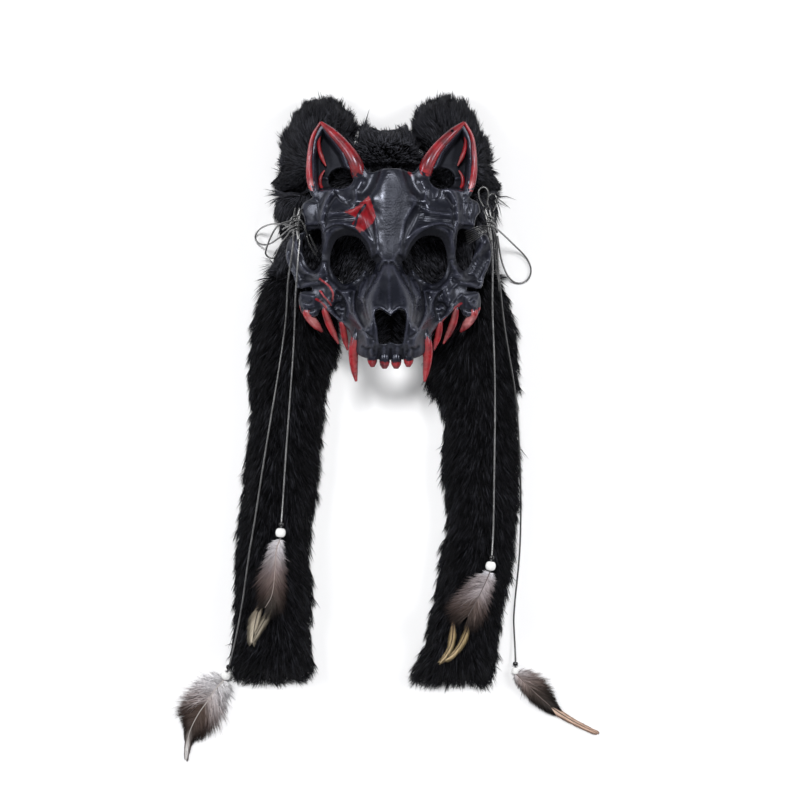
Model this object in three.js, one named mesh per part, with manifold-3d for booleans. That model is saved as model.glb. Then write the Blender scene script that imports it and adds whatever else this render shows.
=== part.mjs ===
// Wolf mask: a moulded half-face skull mask tied with cord to a long-pile fur hood with two ears and two
// lappets, lying face up on a table. Millimetres: +X to the viewer's right, +Y towards the ears' tips, +Z up.
// The origin is the point of the table below the mask's centre line at eye level.
import * as THREE from "three";
import { mergeVertices } from "three/addons/utils/BufferGeometryUtils.js";
import Module from "manifold-3d";

const wasm = await Module();
wasm.setup();

// Driving dimensions of the moulded mask
const wall = 3.2; // thickness of the moulding
const sideHeight = 44; // where the dome of the face would end at its sides
const domeRise = 38; // how far the brow stands above that
const domeReach = 100; // half width that the dome is drawn over
const muzzleRise = 42; // how far the muzzle stands off the face
const domePower = 2.3; // roundness of the dome across the face
const foreheadFall = 0.004; // how fast the forehead slopes back above the brow
const chinFall = 0.002; // how fast the face slopes back below the eyes
const earHollow = 13; // depth of the ear's bowl below its rims
const earBowlSlope = 6; // how far in from its edge the bowl is at its full depth
const eyeSink = { depth: 6, reach: 8 }; // the face falls back towards the eyes
const templeSink = { depth: 4, reach: 6 };
const shieldRise = 3.5; // the forehead's raised plate
const shieldSlope = { outside: 1, inside: 4 };
const frontStep = 6.6; // grid of the carved front, whose smooth back has twice the step
const frontColumns = 30;
const frontRows = 34;
const planBottom = -97; // where that grid starts, below the front teeth's roots
const taperSides = 5;

// Driving dimensions of the fur
const padHeight = 18; // flattened back of the hood, which the whole mask lies on
const rimHeight = 43; // the hood's edge beside the temples
const crownHeight = 60; // the hood's edge above the forehead
const rimClimb = { from: 50, to: 100 }; // where the edge rises from the temples to the forehead
const rimHalfWidth = { crest: 6, foot: 26 };
const earHeight = 45;
const lappetHeight = 32;
const hemHeight = 6; // fur standing straight up at every outer edge
const shoulders = { hood: 16, ear: 26, lappet: 28 }; // how far in the pile has its full height
const tuftEvery = 16; // tufts along the outer edges
const tuftReach = 2.6;
const lock = { depth: 1.6, width: 3.1, length: 9, bend: 17 }; // waves of the combed pile
const padGrid = [11, 11];
const lappetGrid = [13, 22];
const seamGap = 0.4; // between pieces that are sewn or laid against each other
const pieceGap = 2.8; // between the fur and the back of the mask
const maskShade = { lip: 4, reach: 14, slope: 3 }; // the fur climbs again outside the mask's edge
// Heights of sewn edges along the hood, which have no tufts
const seams = { earTop: 112, earSide: 97.5, hoodEars: 63, hoodSide: 62, hoodBottom: -11, lappetTop: -13 };

// Driving dimensions of the cord and what hangs on it
const cordDiameter = 2;
const darkBead = { diameter: 5, length: 3.6 };
const whiteBead = { diameter: 9.4, length: 8.4 };
const smallWhiteBead = { diameter: 7, length: 6.2 };
const beadBore = 3;
const beadBelly = 0.45; // share of its half length that a bead keeps its full diameter
const roundSides = 8; // of cords and beads
const lashingSides = 7;
const tailSteps = 12;
const bowSteps = 11;
const smallLoopSteps = 8;
const featherThickness = 1.2;

// Cuts straight through a piece run from below everything to above everything.
const cutFloor = -10;
const cutTop = 160;

const plastic = { color: 0x2d2e37, roughness: 0.42, metalness: 0 };
const plush = { color: 0x0f0f14, roughness: 0.95, metalness: 0 };
const waxedCord = { color: 0x2a2a2e, roughness: 0.35, metalness: 0 };
const darkGlaze = { color: 0x101012, roughness: 0.25, metalness: 0 };
const whiteGlaze = { color: 0xf4f3ef, roughness: 0.3, metalness: 0 };
const palePlume = { color: 0xb9aaa2, roughness: 0.8, metalness: 0 };
const brownPlume = { color: 0x5b4a40, roughness: 0.8, metalness: 0 };
const olivePlume = { color: 0x8f8055, roughness: 0.7, metalness: 0 };

// The mask's outlines are drawn for its right half, as [distance from the centre line, y].
const foreheadEdge = [[0, 83], [19, 76.5]];
const earEdge = [
  [20.5, 78], [25, 87], [34, 100], [46.5, 113.5], [58, 121.5], [65.5, 123.5],
  [70, 117.5], [74, 106], [76.3, 92], [76.5, 77], [74.5, 61], [71, 53],
];
const templeEdge = [[78, 49.5], [81, 41], [77.5, 36], [77, 23], [88, 20]];
const cheekWingEdge = [[93, 7], [91.5, -5], [86, -17], [82.5, -28], [70, -27.5], [70, -30.5]];
const backJawEdge = [[80, -31.5], [82, -42], [78, -53], [66, -53]];
const jawEdge = [[62, -46], [55, -50], [45, -60], [36.5, -69], [34, -82], [26, -90], [12, -92.6], [0, -93]];
const maskEdge = [foreheadEdge, earEdge, templeEdge, cheekWingEdge, backJawEdge, jawEdge].flat();
const eyeHole = [
  [11.8, -5], [13.5, -13.8], [16.2, -16.7], [20.7, -12.4], [26.5, -18], [39.2, -24.8],
  [48.5, -18], [52.6, -7], [50.5, 9], [45, 17.5], [34.5, 19], [26, 15.5], [18.5, 4.5], [15.5, -2.5],
];
const templeHole = [[63, 25], [76, 21], [78, 10], [74, -6], [67.5, -12.5], [61, -5], [60.5, 10]];
const noseHole = [
  [0, -54.6], [4.6, -51], [8.5, -48.6], [12.3, -50], [13.8, -54], [12, -65.7], [10, -79], [4, -79],
  [0, -77.5],
];
const earHole = { at: [45.5, 70], radius: 9.5, sides: 12 };
const earBowl = [
  [37, 74], [45, 94], [54, 106], [63, 116], [69, 105], [71, 90], [70, 70], [66, 58], [54, 59], [37, 62],
];
const browShield = [[0, 85], [9, 80], [22, 50], [13, 39], [9.5, 27], [3, -4], [0, -5]];

// Raised and sunk lines of the carving, each a route on the right half with its reach and its height.
const carvedLines = [
  { route: [[21, 51], [30, 45], [42, 40], [57, 38]], reach: 5, height: 4.5 }, // upper edge of the brow
  { route: [[16, 2], [20, 12], [30, 22], [41, 27], [54, 25], [59, 18]], reach: 4.5, height: 4.5 }, // socket
  { route: [[59, 22], [60, 38], [57, 49], [51, 60]], reach: 4.5, height: 4 }, // bar from temple to ear
  { route: [[56, 14], [57, -4], [60, -15]], reach: 4.5, height: 3.5 }, // outer side of the eye
  { route: [[62, -17], [72, -9], [80, 2], [87, 14]], reach: 5, height: 5 }, // ridge of the cheek wing
  { route: [[62, -18], [73, -25], [82, -28]], reach: 4.5, height: 2.5 }, // lower edge of the cheek wing
  { route: [[37.5, -29], [35.5, -42], [34.5, -52], [26, -66]], reach: 5, height: 5 }, // strut below the eye
  { route: [[50, -27], [54, -38], [52, -48]], reach: 4.5, height: 3.5 }, // outer cheek bone
  { route: [[44, -42], [46, -48]], reach: 5, height: -4.5 }, // pit below the eye
  { route: [[28.8, -28], [28, -45], [23, -58]], reach: 4.5, height: -4.5 }, // groove beside the muzzle
  { route: [[0, -10], [0, -18]], reach: 6, height: 2.5 }, // knob at the root of the nose
  { route: [[14, -49], [16, -60], [13, -78]], reach: 4.5, height: 2.5 }, // rim beside the nose opening
  { route: [[24, -68], [20, -78], [17, -88]], reach: 4.5, height: 2.5 }, // root of the fang
  { route: [[70, -38], [76, -46]], reach: 6, height: 3 }, // back of the jaw
];

// Half widths of the muzzle's flat top and of its foot, and how far it has risen, down the face.
const muzzleRows = [
  { y: 8, top: 2, foot: 8, rise: 0 },
  { y: -5, top: 3, foot: 13, rise: 0.14 },
  { y: -20, top: 8, foot: 28, rise: 0.47 },
  { y: -35, top: 14, foot: 38, rise: 0.8 },
  { y: -55, top: 15, foot: 44, rise: 1 },
  { y: -75, top: 18, foot: 46, rise: 0.98 },
  { y: -95, top: 26, foot: 52, rise: 0.66 },
];
// The carving wanders off one straight centre line: x of the centre line down the face.
const centreRows = [
  { y: 120, x: 1.4 }, { y: 60, x: 0.2 }, { y: 0, x: -2.2 }, { y: -40, x: -1.2 }, { y: -65, x: 0.4 },
  { y: -95, x: -0.5 },
];

// Rims of the ears and the teeth are round tapers along a route, [distance from centre, y, height].
const earRims = [
  {
    route: [[28, 70, 71], [31, 82, 71], [40, 97, 69], [53, 111, 65.5], [64.5, 121, 60.5]], // inner rim
    radii: [7.5, 7, 5, 3.4, 1.2],
  },
  {
    route: [[64.5, 121, 60.5], [71, 109, 57], [73.5, 92, 56], [73.5, 74, 58], [70, 57, 62]], // outer rim
    radii: [1.2, 3, 3.4, 3.4, 2.2],
  },
  {
    route: [[62.5, 112, 54], [62, 96, 49.5], [57.5, 85, 51], [62.5, 73, 51.5], [59.5, 62, 54]], // fold
    radii: [1, 2.2, 2.2, 1.4],
  },
];
const fang = {
  route: [[30.5, -68, 94], [33, -84, 93], [32.5, -98, 91], [30.5, -112, 88]],
  radii: [3.8, 4.6, 3.2, 0.5],
};
const frontTeeth = [
  { route: [[5.2, -88, 102], [5.2, -95, 102], [5.1, -100.5, 100]], radii: [3.8, 3.8, 1.4] },
  { route: [[16.2, -86, 100], [16.2, -93, 100], [15.8, -99, 98]], radii: [3.8, 3.6, 1.2] },
];
const sideTeeth = [
  { route: [[44, -57, 71.5], [42.5, -69, 71], [38.7, -84, 68]], radii: [3.6, 3.8, 0.6] },
  { route: [[59, -44, 66], [56, -59, 65], [47.2, -78, 61]], radii: [3.8, 4.2, 0.6] },
  { route: [[75, -48, 58], [71.5, -58, 55], [61.7, -67.5, 51]], radii: [4.2, 4.4, 0.6] },
];

// Outlines of the fur, drawn whole because its two sides differ.
const hoodEdge = [
  [-110, -11.6], [-98.6, 22], [-104, 39], [-106, 55], [-104, 66], [-60, 84], [-34, 112], [-27.5, 123],
  [-16.5, 120.3], [-5.6, 117.5], [3.5, 119.4], [13, 122], [21, 116], [50, 82], [97, 64], [98.4, 54.6],
  [96.6, 43], [93, 31], [94.7, 8], [96, -11.6], [44, -11.6], [43, -36], [34, -58], [26, -76], [0, -84],
  [-26, -76], [-34, -58], [-43, -36], [-44, -11.6],
];
const earLeftEdge = [
  [-33, 124], [-41, 136], [-50, 144], [-63, 148.5], [-73, 146], [-88, 136], [-95, 121], [-100.4, 103],
  [-102.5, 80], [-104, 66], [-84, 62], [-58, 68], [-42, 86], [-33, 106],
];
const earRightEdge = [
  [18, 127], [26, 138.5], [39, 147], [50, 149.5], [67, 144], [75, 134], [82, 118], [91, 96],
  [94.7, 77], [97, 64], [78, 60], [52, 66], [34, 84], [23, 106],
];
const lappetLeftEdge = [
  [-110.4, -12], [-121, -31], [-127, -74], [-129, -110], [-126.5, -132], [-128, -158], [-133, -184],
  [-137.5, -236], [-140, -268], [-142, -317], [-143, -345], [-146, -372], [-142, -381], [-126, -386],
  [-100, -386], [-78, -382], [-69.5, -377], [-74.5, -359], [-76, -332], [-71.5, -301], [-76, -283],
  [-78.5, -268], [-73, -241], [-69.5, -218], [-67, -173], [-65, -156], [-60.5, -115], [-49.5, -83],
  [-50, -50], [-52, -12],
];
const lappetRightEdge = [
  [96.4, -12], [100.5, -24], [106.5, -38], [112, -65], [114, -102], [113, -141], [115, -173], [115, -195],
  [114, -226], [111, -257], [109.5, -280], [103.5, -307], [97.5, -338], [96, -364], [94, -383], [84, -389],
  [58, -388], [29, -387], [18.5, -380], [28, -362], [31, -349], [36.5, -328], [42, -307], [44.5, -280],
  [47, -266], [53, -246], [53, -226], [50, -205], [47, -184], [50, -160], [50, -141], [32, -110],
  [38, -75], [50, -36], [52, -12],
];
const rimRoute = [
  [-97, -12], [-91, 20], [-91, 50], [-78, 78], [-50, 99], [-20, 106], [0, 106], [20, 106], [50, 99], [78, 78],
  [88, 50], [86, 20], [88, -12],
];

// Routes of the cord's tails, from the knot at the temple down over the lappet to the feathers.
const tailRoutes = {
  cord_tail_left_short: [
    [-82, 15, 64], [-83.5, -2, 66], [-84.7, -20, 65], [-85.6, -31, 60], [-86.6, -43, 47], [-87.5, -60, 37],
    [-89, -90, 35], [-92.5, -137, 35], [-95.8, -183, 35], [-98, -218, 35.6], [-99.4, -239, 38.3],
  ],
  cord_tail_left_long: [
    [-87.5, 14, 64], [-90, -4, 62.4], [-92.6, -20, 54], [-94, -34, 43], [-95.5, -58, 35.6],
    [-103.2, -110, 35], [-114.5, -178, 35], [-124, -240, 32.6], [-129.5, -272, 30.8], [-134, -306, 28.8],
    [-139, -334, 23.8], [-143, -352, 19.4], [-147.9, -371.1, 12.5],
  ],
  cord_tail_right_short: [
    [90.6, 14, 59], [91.6, 0, 57], [91.6, -18, 53], [91.8, -46, 37], [93.3, -80, 35], [94.4, -130, 35],
    [93.6, -194, 34.6], [93, -236, 34.8], [92.5, -252, 35.8], [91.4, -269, 38.1],
  ],
  cord_tail_right_long: [
    [95.8, 13, 53], [97, -10, 46], [99.7, -35, 37], [102.6, -60, 34], [106.5, -84, 31], [111.5, -112, 25],
    [115, -140, 20], [117.4, -180, 16.4], [118.6, -214, 9], [118.8, -240, 3], [117.5, -275, 1.4],
    [114, -308, 1.4], [112.3, -330, 1.4], [113.2, -348, 1.8], [114, -368.2, 3.8],
  ],
};
const bowRoutes = {
  bow_loop_left_outer: [
    [-90.8, 29, 57], [-104, 31, 44], [-114, 30, 24], [-121, 27, 9], [-125, 21, 3], [-122, 15, 4],
    [-113, 13, 15], [-104, 17, 32], [-92.4, 25, 53],
  ],
  bow_loop_left_inner: [
    [-90.6, 32, 64], [-101, 30.5, 57], [-109, 22.5, 40], [-114, 10.5, 23], [-114.4, 2, 13],
    [-111.4, -1, 12], [-107.8, 3, 24], [-101, 11.5, 41], [-92, 21, 55],
  ],
  bow_loop_right: [
    [94, 27, 54], [104, 19.6, 32], [115, 10.6, 12], [124, 2.5, 3], [127.5, -6.6, 1.6], [126, -16, 1.4],
    [117.5, -22, 1.6], [110, -18, 6], [105, -10, 17], [100.5, -1, 34], [98, 9, 47], [96, 19, 56],
  ],
};
// Two small loops that stand up above the right knot.
const smallLoopRoutes = {
  loop_right_upper: [
    [83.4, 45.5, 60], [80.8, 53, 57], [80, 60, 55], [82.4, 63, 55], [84.8, 58, 57], [85.6, 46.5, 61],
  ],
  loop_right_lower: [
    [88.2, 44, 58], [88.6, 52, 53], [90.6, 57, 50], [92.8, 54, 49], [92, 46, 52], [91.4, 41.5, 56],
  ],
};
// The knots at the temples, where the cord is wound around itself.
const lashingRadii = [1.4, 3, 5, 5, 3.4];
const lashingRoutes = {
  lashing_left: [[-82, 43, 61], [-84.5, 36, 60], [-85, 29, 59], [-84.6, 23.6, 60]],
  lashing_right: [[85, 42, 58], [87.6, 36, 56], [88, 29, 55], [88.6, 23.6, 55]],
};
const beads = [
  { tail: "left_short", dark: [-99.6, -241.4, 38.4], white: [-100.2, -249, 38.6], size: whiteBead },
  { tail: "left_long", dark: [-148.6, -373, 11.2], white: [-151.2, -380.6, 6.2], size: whiteBead },
  { tail: "right_short", dark: [91.1, -271.4, 38.2], white: [90.2, -279.2, 38.5], size: whiteBead },
  { tail: "right_long", dark: [113.9, -370.6, 3.8], white: [113.7, -377, 3.9], size: smallWhiteBead },
];
const feathers = [
  {
    name: "feather_left_short", base: 35.4, finish: palePlume,
    edge: [
      [-100.4, -256], [-106, -257], [-112.6, -262], [-115.6, -272], [-122.9, -286], [-119, -300],
      [-120, -312], [-116.5, -322], [-109, -316], [-101, -308], [-97, -300], [-94.8, -280], [-94.8, -266],
    ],
  },
  {
    name: "feather_left_short_tip", base: 34, finish: olivePlume,
    edge: [
      [-121, -314], [-125.3, -317], [-129.2, -329], [-126.2, -349], [-121, -340], [-118.9, -330],
      [-112.6, -326.5], [-115, -321],
    ],
  },
  {
    name: "feather_left_long", base: 0.2, finish: palePlume,
    edge: [
      [-152.6, -387.4], [-145, -388], [-139.9, -392], [-144.1, -404.7], [-153.3, -415.8], [-162.8, -422.2],
      [-172.6, -430.4], [-181.7, -441.4], [-191.8, -459.8], [-191.8, -451.5], [-185.8, -435],
      [-187.2, -418.5], [-194.6, -408.4], [-183.6, -391], [-168, -387],
    ],
  },
  {
    name: "feather_left_long_inner", base: 1.8, finish: brownPlume,
    edge: [
      [-154, -389], [-145.5, -396], [-150, -410], [-163, -419.5], [-180, -435], [-184, -420], [-177, -404],
      [-166, -392],
    ],
  },
  {
    name: "feather_right_short", base: 36, finish: palePlume,
    edge: [
      [87.6, -286], [80.7, -283], [70.7, -292], [60, -302], [51.7, -314], [56, -322], [66, -328],
      [80.7, -329.3], [90.7, -316.6], [93.4, -304], [92.5, -289.4],
    ],
  },
  {
    name: "feather_right_short_tip_outer", base: 34.2, finish: olivePlume,
    edge: [[59, -322], [55, -337.5], [44.4, -369.3], [53, -355], [61, -341], [65.5, -328]],
  },
  {
    name: "feather_right_short_tip_inner", base: 34.2, finish: olivePlume,
    edge: [[68, -327], [65.3, -341], [57.1, -362.9], [66, -351], [73, -339], [76, -327]],
  },
  {
    name: "feather_right_long", base: 1.8, finish: brownPlume,
    edge: [
      [114.6, -384], [118.6, -377], [124.6, -369.9], [130.1, -375.4], [140.2, -391], [151.2, -411],
      [141.1, -413.9], [130.1, -407.5], [119.5, -397.4], [114.2, -389],
    ],
  },
  {
    name: "feather_right_long_tip", base: 0.2, finish: palePlume,
    edge: [
      [134, -399], [140, -398], [151.2, -409], [162.2, -418.5], [174.1, -427], [192.4, -438.7], [173, -434],
      [160, -427.5], [147, -417], [136, -404],
    ],
  },
];

const { clamp, lerp, smoothstep } = THREE.MathUtils;

// Reads one value between the rows of a list that runs down the face.
function readRows(rows, y, key) {
  const below = rows.findIndex((row) => y >= row.y);
  if (below === 0) return rows[0][key];
  if (below < 0) return rows.at(-1)[key];
  const [upper, lower] = [rows[below - 1], rows[below]];
  return lerp(upper[key], lower[key], (upper.y - y) / (upper.y - lower.y));
}

function centreAt(y) {
  return readRows(centreRows, y, "x");
}

function distanceToRoute(x, y, route) {
  let nearest = Infinity;
  for (let i = 1; i < route.length; i += 1) {
    const [ax, ay] = route[i - 1];
    const [dx, dy] = [route[i][0] - ax, route[i][1] - ay];
    const share = clamp(((x - ax) * dx + (y - ay) * dy) / (dx * dx + dy * dy), 0, 1);
    nearest = Math.min(nearest, Math.hypot(x - ax - share * dx, y - ay - share * dy));
  }
  return nearest;
}

function isInside(x, y, outline) {
  let inside = false;
  outline.forEach(([bx, by], i) => {
    const [ax, ay] = outline.at(i - 1);
    const crosses = ay > y !== by > y && x < ax + ((y - ay) * (bx - ax)) / (by - ay);
    if (crosses) inside = !inside;
  });
  return inside;
}

// How far a point lies inside an outline, negative outside it. A half outline is open on the centre line.
function depthInside(x, y, outline, half = false) {
  const route = half ? outline : [...outline, outline[0]];
  const distance = distanceToRoute(x, y, route);
  return isInside(x, y, outline) ? distance : -distance;
}

// The face without its carving: a dome that slopes back over the forehead, and the muzzle standing off it.
function faceHeight(u, y) {
  const dome = sideHeight + domeRise * (1 - (u / domeReach) ** domePower);
  const foreheadSlope = foreheadFall * clamp(y - 40, 0, 45) ** 2;
  const chinSlope = chinFall * Math.max(0, -y - 20) ** 2;
  const foot = smoothstep(u, readRows(muzzleRows, y, "top"), readRows(muzzleRows, y, "foot"));
  return dome - foreheadSlope - chinSlope + muzzleRise * readRows(muzzleRows, y, "rise") * (1 - foot);
}

function frontHeight(x, y) {
  const u = Math.abs(x - centreAt(y));
  const inShield = depthInside(u, y, browShield, true);
  let height = faceHeight(u, y);
  height -= earHollow * smoothstep(depthInside(u, y, earBowl), 0, earBowlSlope);
  height -= eyeSink.depth * (1 - smoothstep(-depthInside(u, y, eyeHole), 0, eyeSink.reach));
  height -= templeSink.depth * (1 - smoothstep(-depthInside(u, y, templeHole), 0, templeSink.reach));
  height += shieldRise * smoothstep(inShield, -shieldSlope.outside, shieldSlope.inside);
  for (const { route, reach, height: rise } of carvedLines) {
    height += rise * Math.exp(-((distanceToRoute(u, y, route) / reach) ** 2));
  }
  return height;
}

// The smooth back stays a wall's thickness below the lowest carving near it.
function backHeight(x, y) {
  const around = [-frontStep, 0, frontStep];
  return Math.min(...around.flatMap((dx) => around.map((dy) => frontHeight(x + dx, y + dy)))) - wall;
}

function solidOf(geometry) {
  geometry.deleteAttribute("normal");
  geometry.deleteAttribute("uv");
  const merged = mergeVertices(geometry, 1e-4);
  const vertProperties = new Float32Array(merged.getAttribute("position").array);
  const triVerts = new Uint32Array(merged.getIndex().array);
  return new wasm.Manifold(new wasm.Mesh({ numProp: 3, vertProperties, triVerts }));
}

function geometryOf(solid) {
  const mesh = solid.getMesh();
  const geometry = new THREE.BufferGeometry();
  geometry.setAttribute("position", new THREE.BufferAttribute(mesh.vertProperties, 3));
  geometry.setIndex(new THREE.BufferAttribute(mesh.triVerts, 1));
  return geometry;
}

// A block over part of the plan, flat below at its floor, whose top follows heightAt.
function reliefBlock({ left, bottom, columns, rows, step, floor }, heightAt) {
  const [width, length] = [columns * step[0], rows * step[1]];
  const geometry = new THREE.BoxGeometry(width, length, 2, columns, rows, 1);
  geometry.translate(left + width / 2, bottom + length / 2, 0);
  const position = geometry.getAttribute("position");
  for (let i = 0; i < position.count; i += 1) {
    const isTop = position.getZ(i) > 0;
    position.setZ(i, isTop ? heightAt(position.getX(i), position.getY(i)) : floor);
  }
  return solidOf(geometry);
}

function prism(outline, bottom, top) {
  const shape = new THREE.Shape(outline.map(([x, y]) => new THREE.Vector2(x, y)));
  const geometry = new THREE.ExtrudeGeometry(shape, { depth: top - bottom, bevelEnabled: false });
  geometry.translate(0, 0, bottom);
  return geometry;
}

// Puts points of the right half on one side of the wandering centre line.
function onSide(points, side) {
  return points.map(([u, y, ...height]) => [centreAt(y) + side * u, y, ...height]);
}

function bothSides(half) {
  const left = onSide(half, -1).reverse();
  return [...onSide(half, 1), ...left.slice(1, -1)];
}

function routeCurve(route) {
  return new THREE.CatmullRomCurve3(route.map((point) => new THREE.Vector3(...point)));
}

// A round taper that follows a route, its radii read at even steps from root to tip.
function taperAlong(route, radii, sides) {
  const last = radii.length - 1;
  const profile = radii.map((radius, i) => new THREE.Vector2(radius, i / last));
  profile.unshift(new THREE.Vector2(0, 0));
  profile.push(new THREE.Vector2(0, 1));
  const geometry = new THREE.LatheGeometry(profile, sides);
  const curve = routeCurve(route);
  const up = new THREE.Vector3(0, 0, 1);
  const position = geometry.getAttribute("position");
  for (let i = 0; i < position.count; i += 1) {
    const along = clamp(position.getY(i), 0, 1);
    const ahead = curve.getTangentAt(along);
    const across = ahead.clone().cross(up).normalize();
    const over = across.clone().cross(ahead);
    const point = curve.getPointAt(along);
    point.addScaledVector(across, position.getX(i));
    point.addScaledVector(over, position.getZ(i));
    position.setXYZ(i, point.x, point.y, point.z);
  }
  return geometry;
}

// The moulding: a carved front over a smooth back, cut to its outline and openings, with rims and teeth.
function skullMask() {
  const [left, bottom] = [(-frontColumns / 2) * frontStep, planBottom];
  const fine = { left, bottom, columns: frontColumns, rows: frontRows, step: [frontStep, frontStep] };
  const backStep = 2 * frontStep;
  const coarse = { left, bottom, columns: frontColumns / 2, rows: frontRows / 2, step: [backStep, backStep] };
  const front = reliefBlock({ ...fine, floor: 0 }, frontHeight);
  const back = reliefBlock({ ...coarse, floor: cutFloor }, backHeight);
  let mask = front.subtract(back);
  mask = mask.intersect(solidOf(prism(bothSides(maskEdge), cutFloor, cutTop)));
  const earHoleEdge = Array.from({ length: earHole.sides }, (_, i) => {
    const angle = (2 * Math.PI * i) / earHole.sides;
    const [u, y] = earHole.at;
    return [u + earHole.radius * Math.cos(angle), y + earHole.radius * Math.sin(angle)];
  });
  const halfHoles = [eyeHole, templeHole, earHoleEdge];
  const pairedHoles = halfHoles.flatMap((hole) => [onSide(hole, 1), onSide(hole, -1)]);
  for (const hole of [bothSides(noseHole), ...pairedHoles]) {
    mask = mask.subtract(solidOf(prism(hole, cutFloor, cutTop)));
  }
  for (const side of [1, -1]) {
    for (const { route, radii } of [...earRims, fang, ...frontTeeth, ...sideTeeth]) {
      mask = mask.add(solidOf(taperAlong(onSide(route, side), radii, taperSides)));
    }
  }
  return geometryOf(mask);
}

// The highest that fur may stand, which under the mask is just below its back.
function ceilingAt(x, y) {
  const outside = -depthInside(x, y, bothSides(maskEdge));
  if (outside > maskShade.reach) return Infinity;
  return backHeight(x, y) - pieceGap + maskShade.slope * Math.max(0, outside - maskShade.lip);
}

function lockRelief(x, y) {
  return lock.depth * Math.sin(x / lock.width + Math.sin(y / lock.bend)) * Math.sin(y / lock.length);
}

// Pile that rises in a round shoulder from the outline to its full height.
function pileHeight(x, y, outline, height, shoulder) {
  const share = clamp(depthInside(x, y, outline) / shoulder, 0, 1);
  const pile = hemHeight + (height - hemHeight) * Math.sqrt(1 - (1 - share) ** 2) + lockRelief(x, y);
  return Math.min(pile, ceilingAt(x, y));
}

function hoodHeight(x, y) {
  const share = clamp(depthInside(x, y, hoodEdge) / shoulders.hood, 0, 1);
  const shoulder = Math.sqrt(1 - (1 - share) ** 2);
  const rimTop = lerp(rimHeight, crownHeight, smoothstep(y, rimClimb.from, rimClimb.to));
  const rim = 1 - smoothstep(distanceToRoute(x, y, rimRoute), rimHalfWidth.crest, rimHalfWidth.foot);
  const pile = padHeight + (rimTop - padHeight) * rim + lockRelief(x, y);
  return Math.min(hemHeight + (pile - hemHeight) * shoulder, ceilingAt(x, y));
}

// An outline with the fur's tufts standing out of it at even steps, left smooth along its sewn stretches.
function tufted(outline, isSewn) {
  const isClockwise = THREE.ShapeUtils.isClockWise(outline.map(([x, y]) => new THREE.Vector2(x, y)));
  const turning = isClockwise ? [...outline].reverse() : outline;
  const closed = [...turning, turning[0]];
  return closed.slice(1).flatMap(([bx, by], i) => {
    const [ax, ay] = closed[i];
    const [dx, dy] = [bx - ax, by - ay];
    const length = Math.hypot(dx, dy);
    const tufts = isSewn(ax, ay) && isSewn(bx, by) ? 0 : Math.round(length / tuftEvery);
    const points = [[ax, ay]];
    for (let tuft = 0; tuft < tufts; tuft += 1) {
      const share = (tuft + 0.6) / tufts;
      const [outX, outY] = [(dy / length) * tuftReach, (-dx / length) * tuftReach];
      points.push([ax + dx * share + outX, ay + dy * share + outY]);
      if (tuft < tufts - 1) points.push([ax + (dx * (tuft + 1)) / tufts, ay + (dy * (tuft + 1)) / tufts]);
    }
    return points;
  });
}

// Fur over an outline: its pile in relief, cut to the tufted edge and flat below, where it lies on the table.
function furPiece({ outline, step, isSewn, cutters = [] }, heightAt) {
  const edge = tufted(outline, isSewn);
  const [xs, ys] = [edge.map(([x]) => x), edge.map(([, y]) => y)];
  const [left, bottom] = [Math.min(...xs) - 1, Math.min(...ys) - 1];
  const columns = Math.ceil((Math.max(...xs) + 1 - left) / step[0]);
  const rows = Math.ceil((Math.max(...ys) + 1 - bottom) / step[1]);
  let fur = reliefBlock({ left, bottom, columns, rows, step, floor: cutFloor }, heightAt);
  fur = fur.intersect(solidOf(prism(edge, 0, cutTop)));
  for (const cutter of cutters) fur = fur.subtract(cutter);
  return geometryOf(fur);
}

// An outline grown a little about its middle, which cuts a seam in the neighbouring piece.
function seamCutter(outline, isSewn) {
  const edge = tufted(outline, isSewn);
  const middle = [0, 1].map((axis) => edge.reduce((sum, point) => sum + point[axis], 0) / edge.length);
  const grown = edge.map(([x, y]) => {
    const [dx, dy] = [x - middle[0], y - middle[1]];
    const grow = 1 + (2 * seamGap) / Math.hypot(dx, dy);
    return [middle[0] + dx * grow, middle[1] + dy * grow];
  });
  return solidOf(prism(grown, cutFloor, cutTop));
}

function cordAlong(route, steps) {
  const corners = Array.from({ length: roundSides }, (_, i) => {
    const angle = (2 * Math.PI * i) / roundSides;
    return new THREE.Vector2(Math.cos(angle), Math.sin(angle)).multiplyScalar(cordDiameter / 2);
  });
  const extrudePath = routeCurve(route);
  return new THREE.ExtrudeGeometry(new THREE.Shape(corners), { steps, bevelEnabled: false, extrudePath });
}

// A bead with a bore through it, lined up from one point to another.
function beadAlong({ diameter, length }, from, to) {
  const [radius, half] = [diameter / 2, length / 2];
  const profile = [
    [beadBore / 2, -half], [radius, -half * beadBelly], [radius, half * beadBelly], [beadBore / 2, half],
    [beadBore / 2, -half],
  ];
  const geometry = new THREE.LatheGeometry(profile.map(([x, y]) => new THREE.Vector2(x, y)), roundSides);
  const ahead = new THREE.Vector3(...to).sub(new THREE.Vector3(...from)).normalize();
  geometry.applyQuaternion(new THREE.Quaternion().setFromUnitVectors(new THREE.Vector3(0, 1, 0), ahead));
  return geometry;
}

const wolfMask = new THREE.Group();

function addPiece(name, geometry, finish, at = [0, 0, 0]) {
  const mesh = new THREE.Mesh(geometry, new THREE.MeshStandardMaterial(finish));
  mesh.name = name;
  mesh.position.set(...at);
  wolfMask.add(mesh);
}

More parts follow.
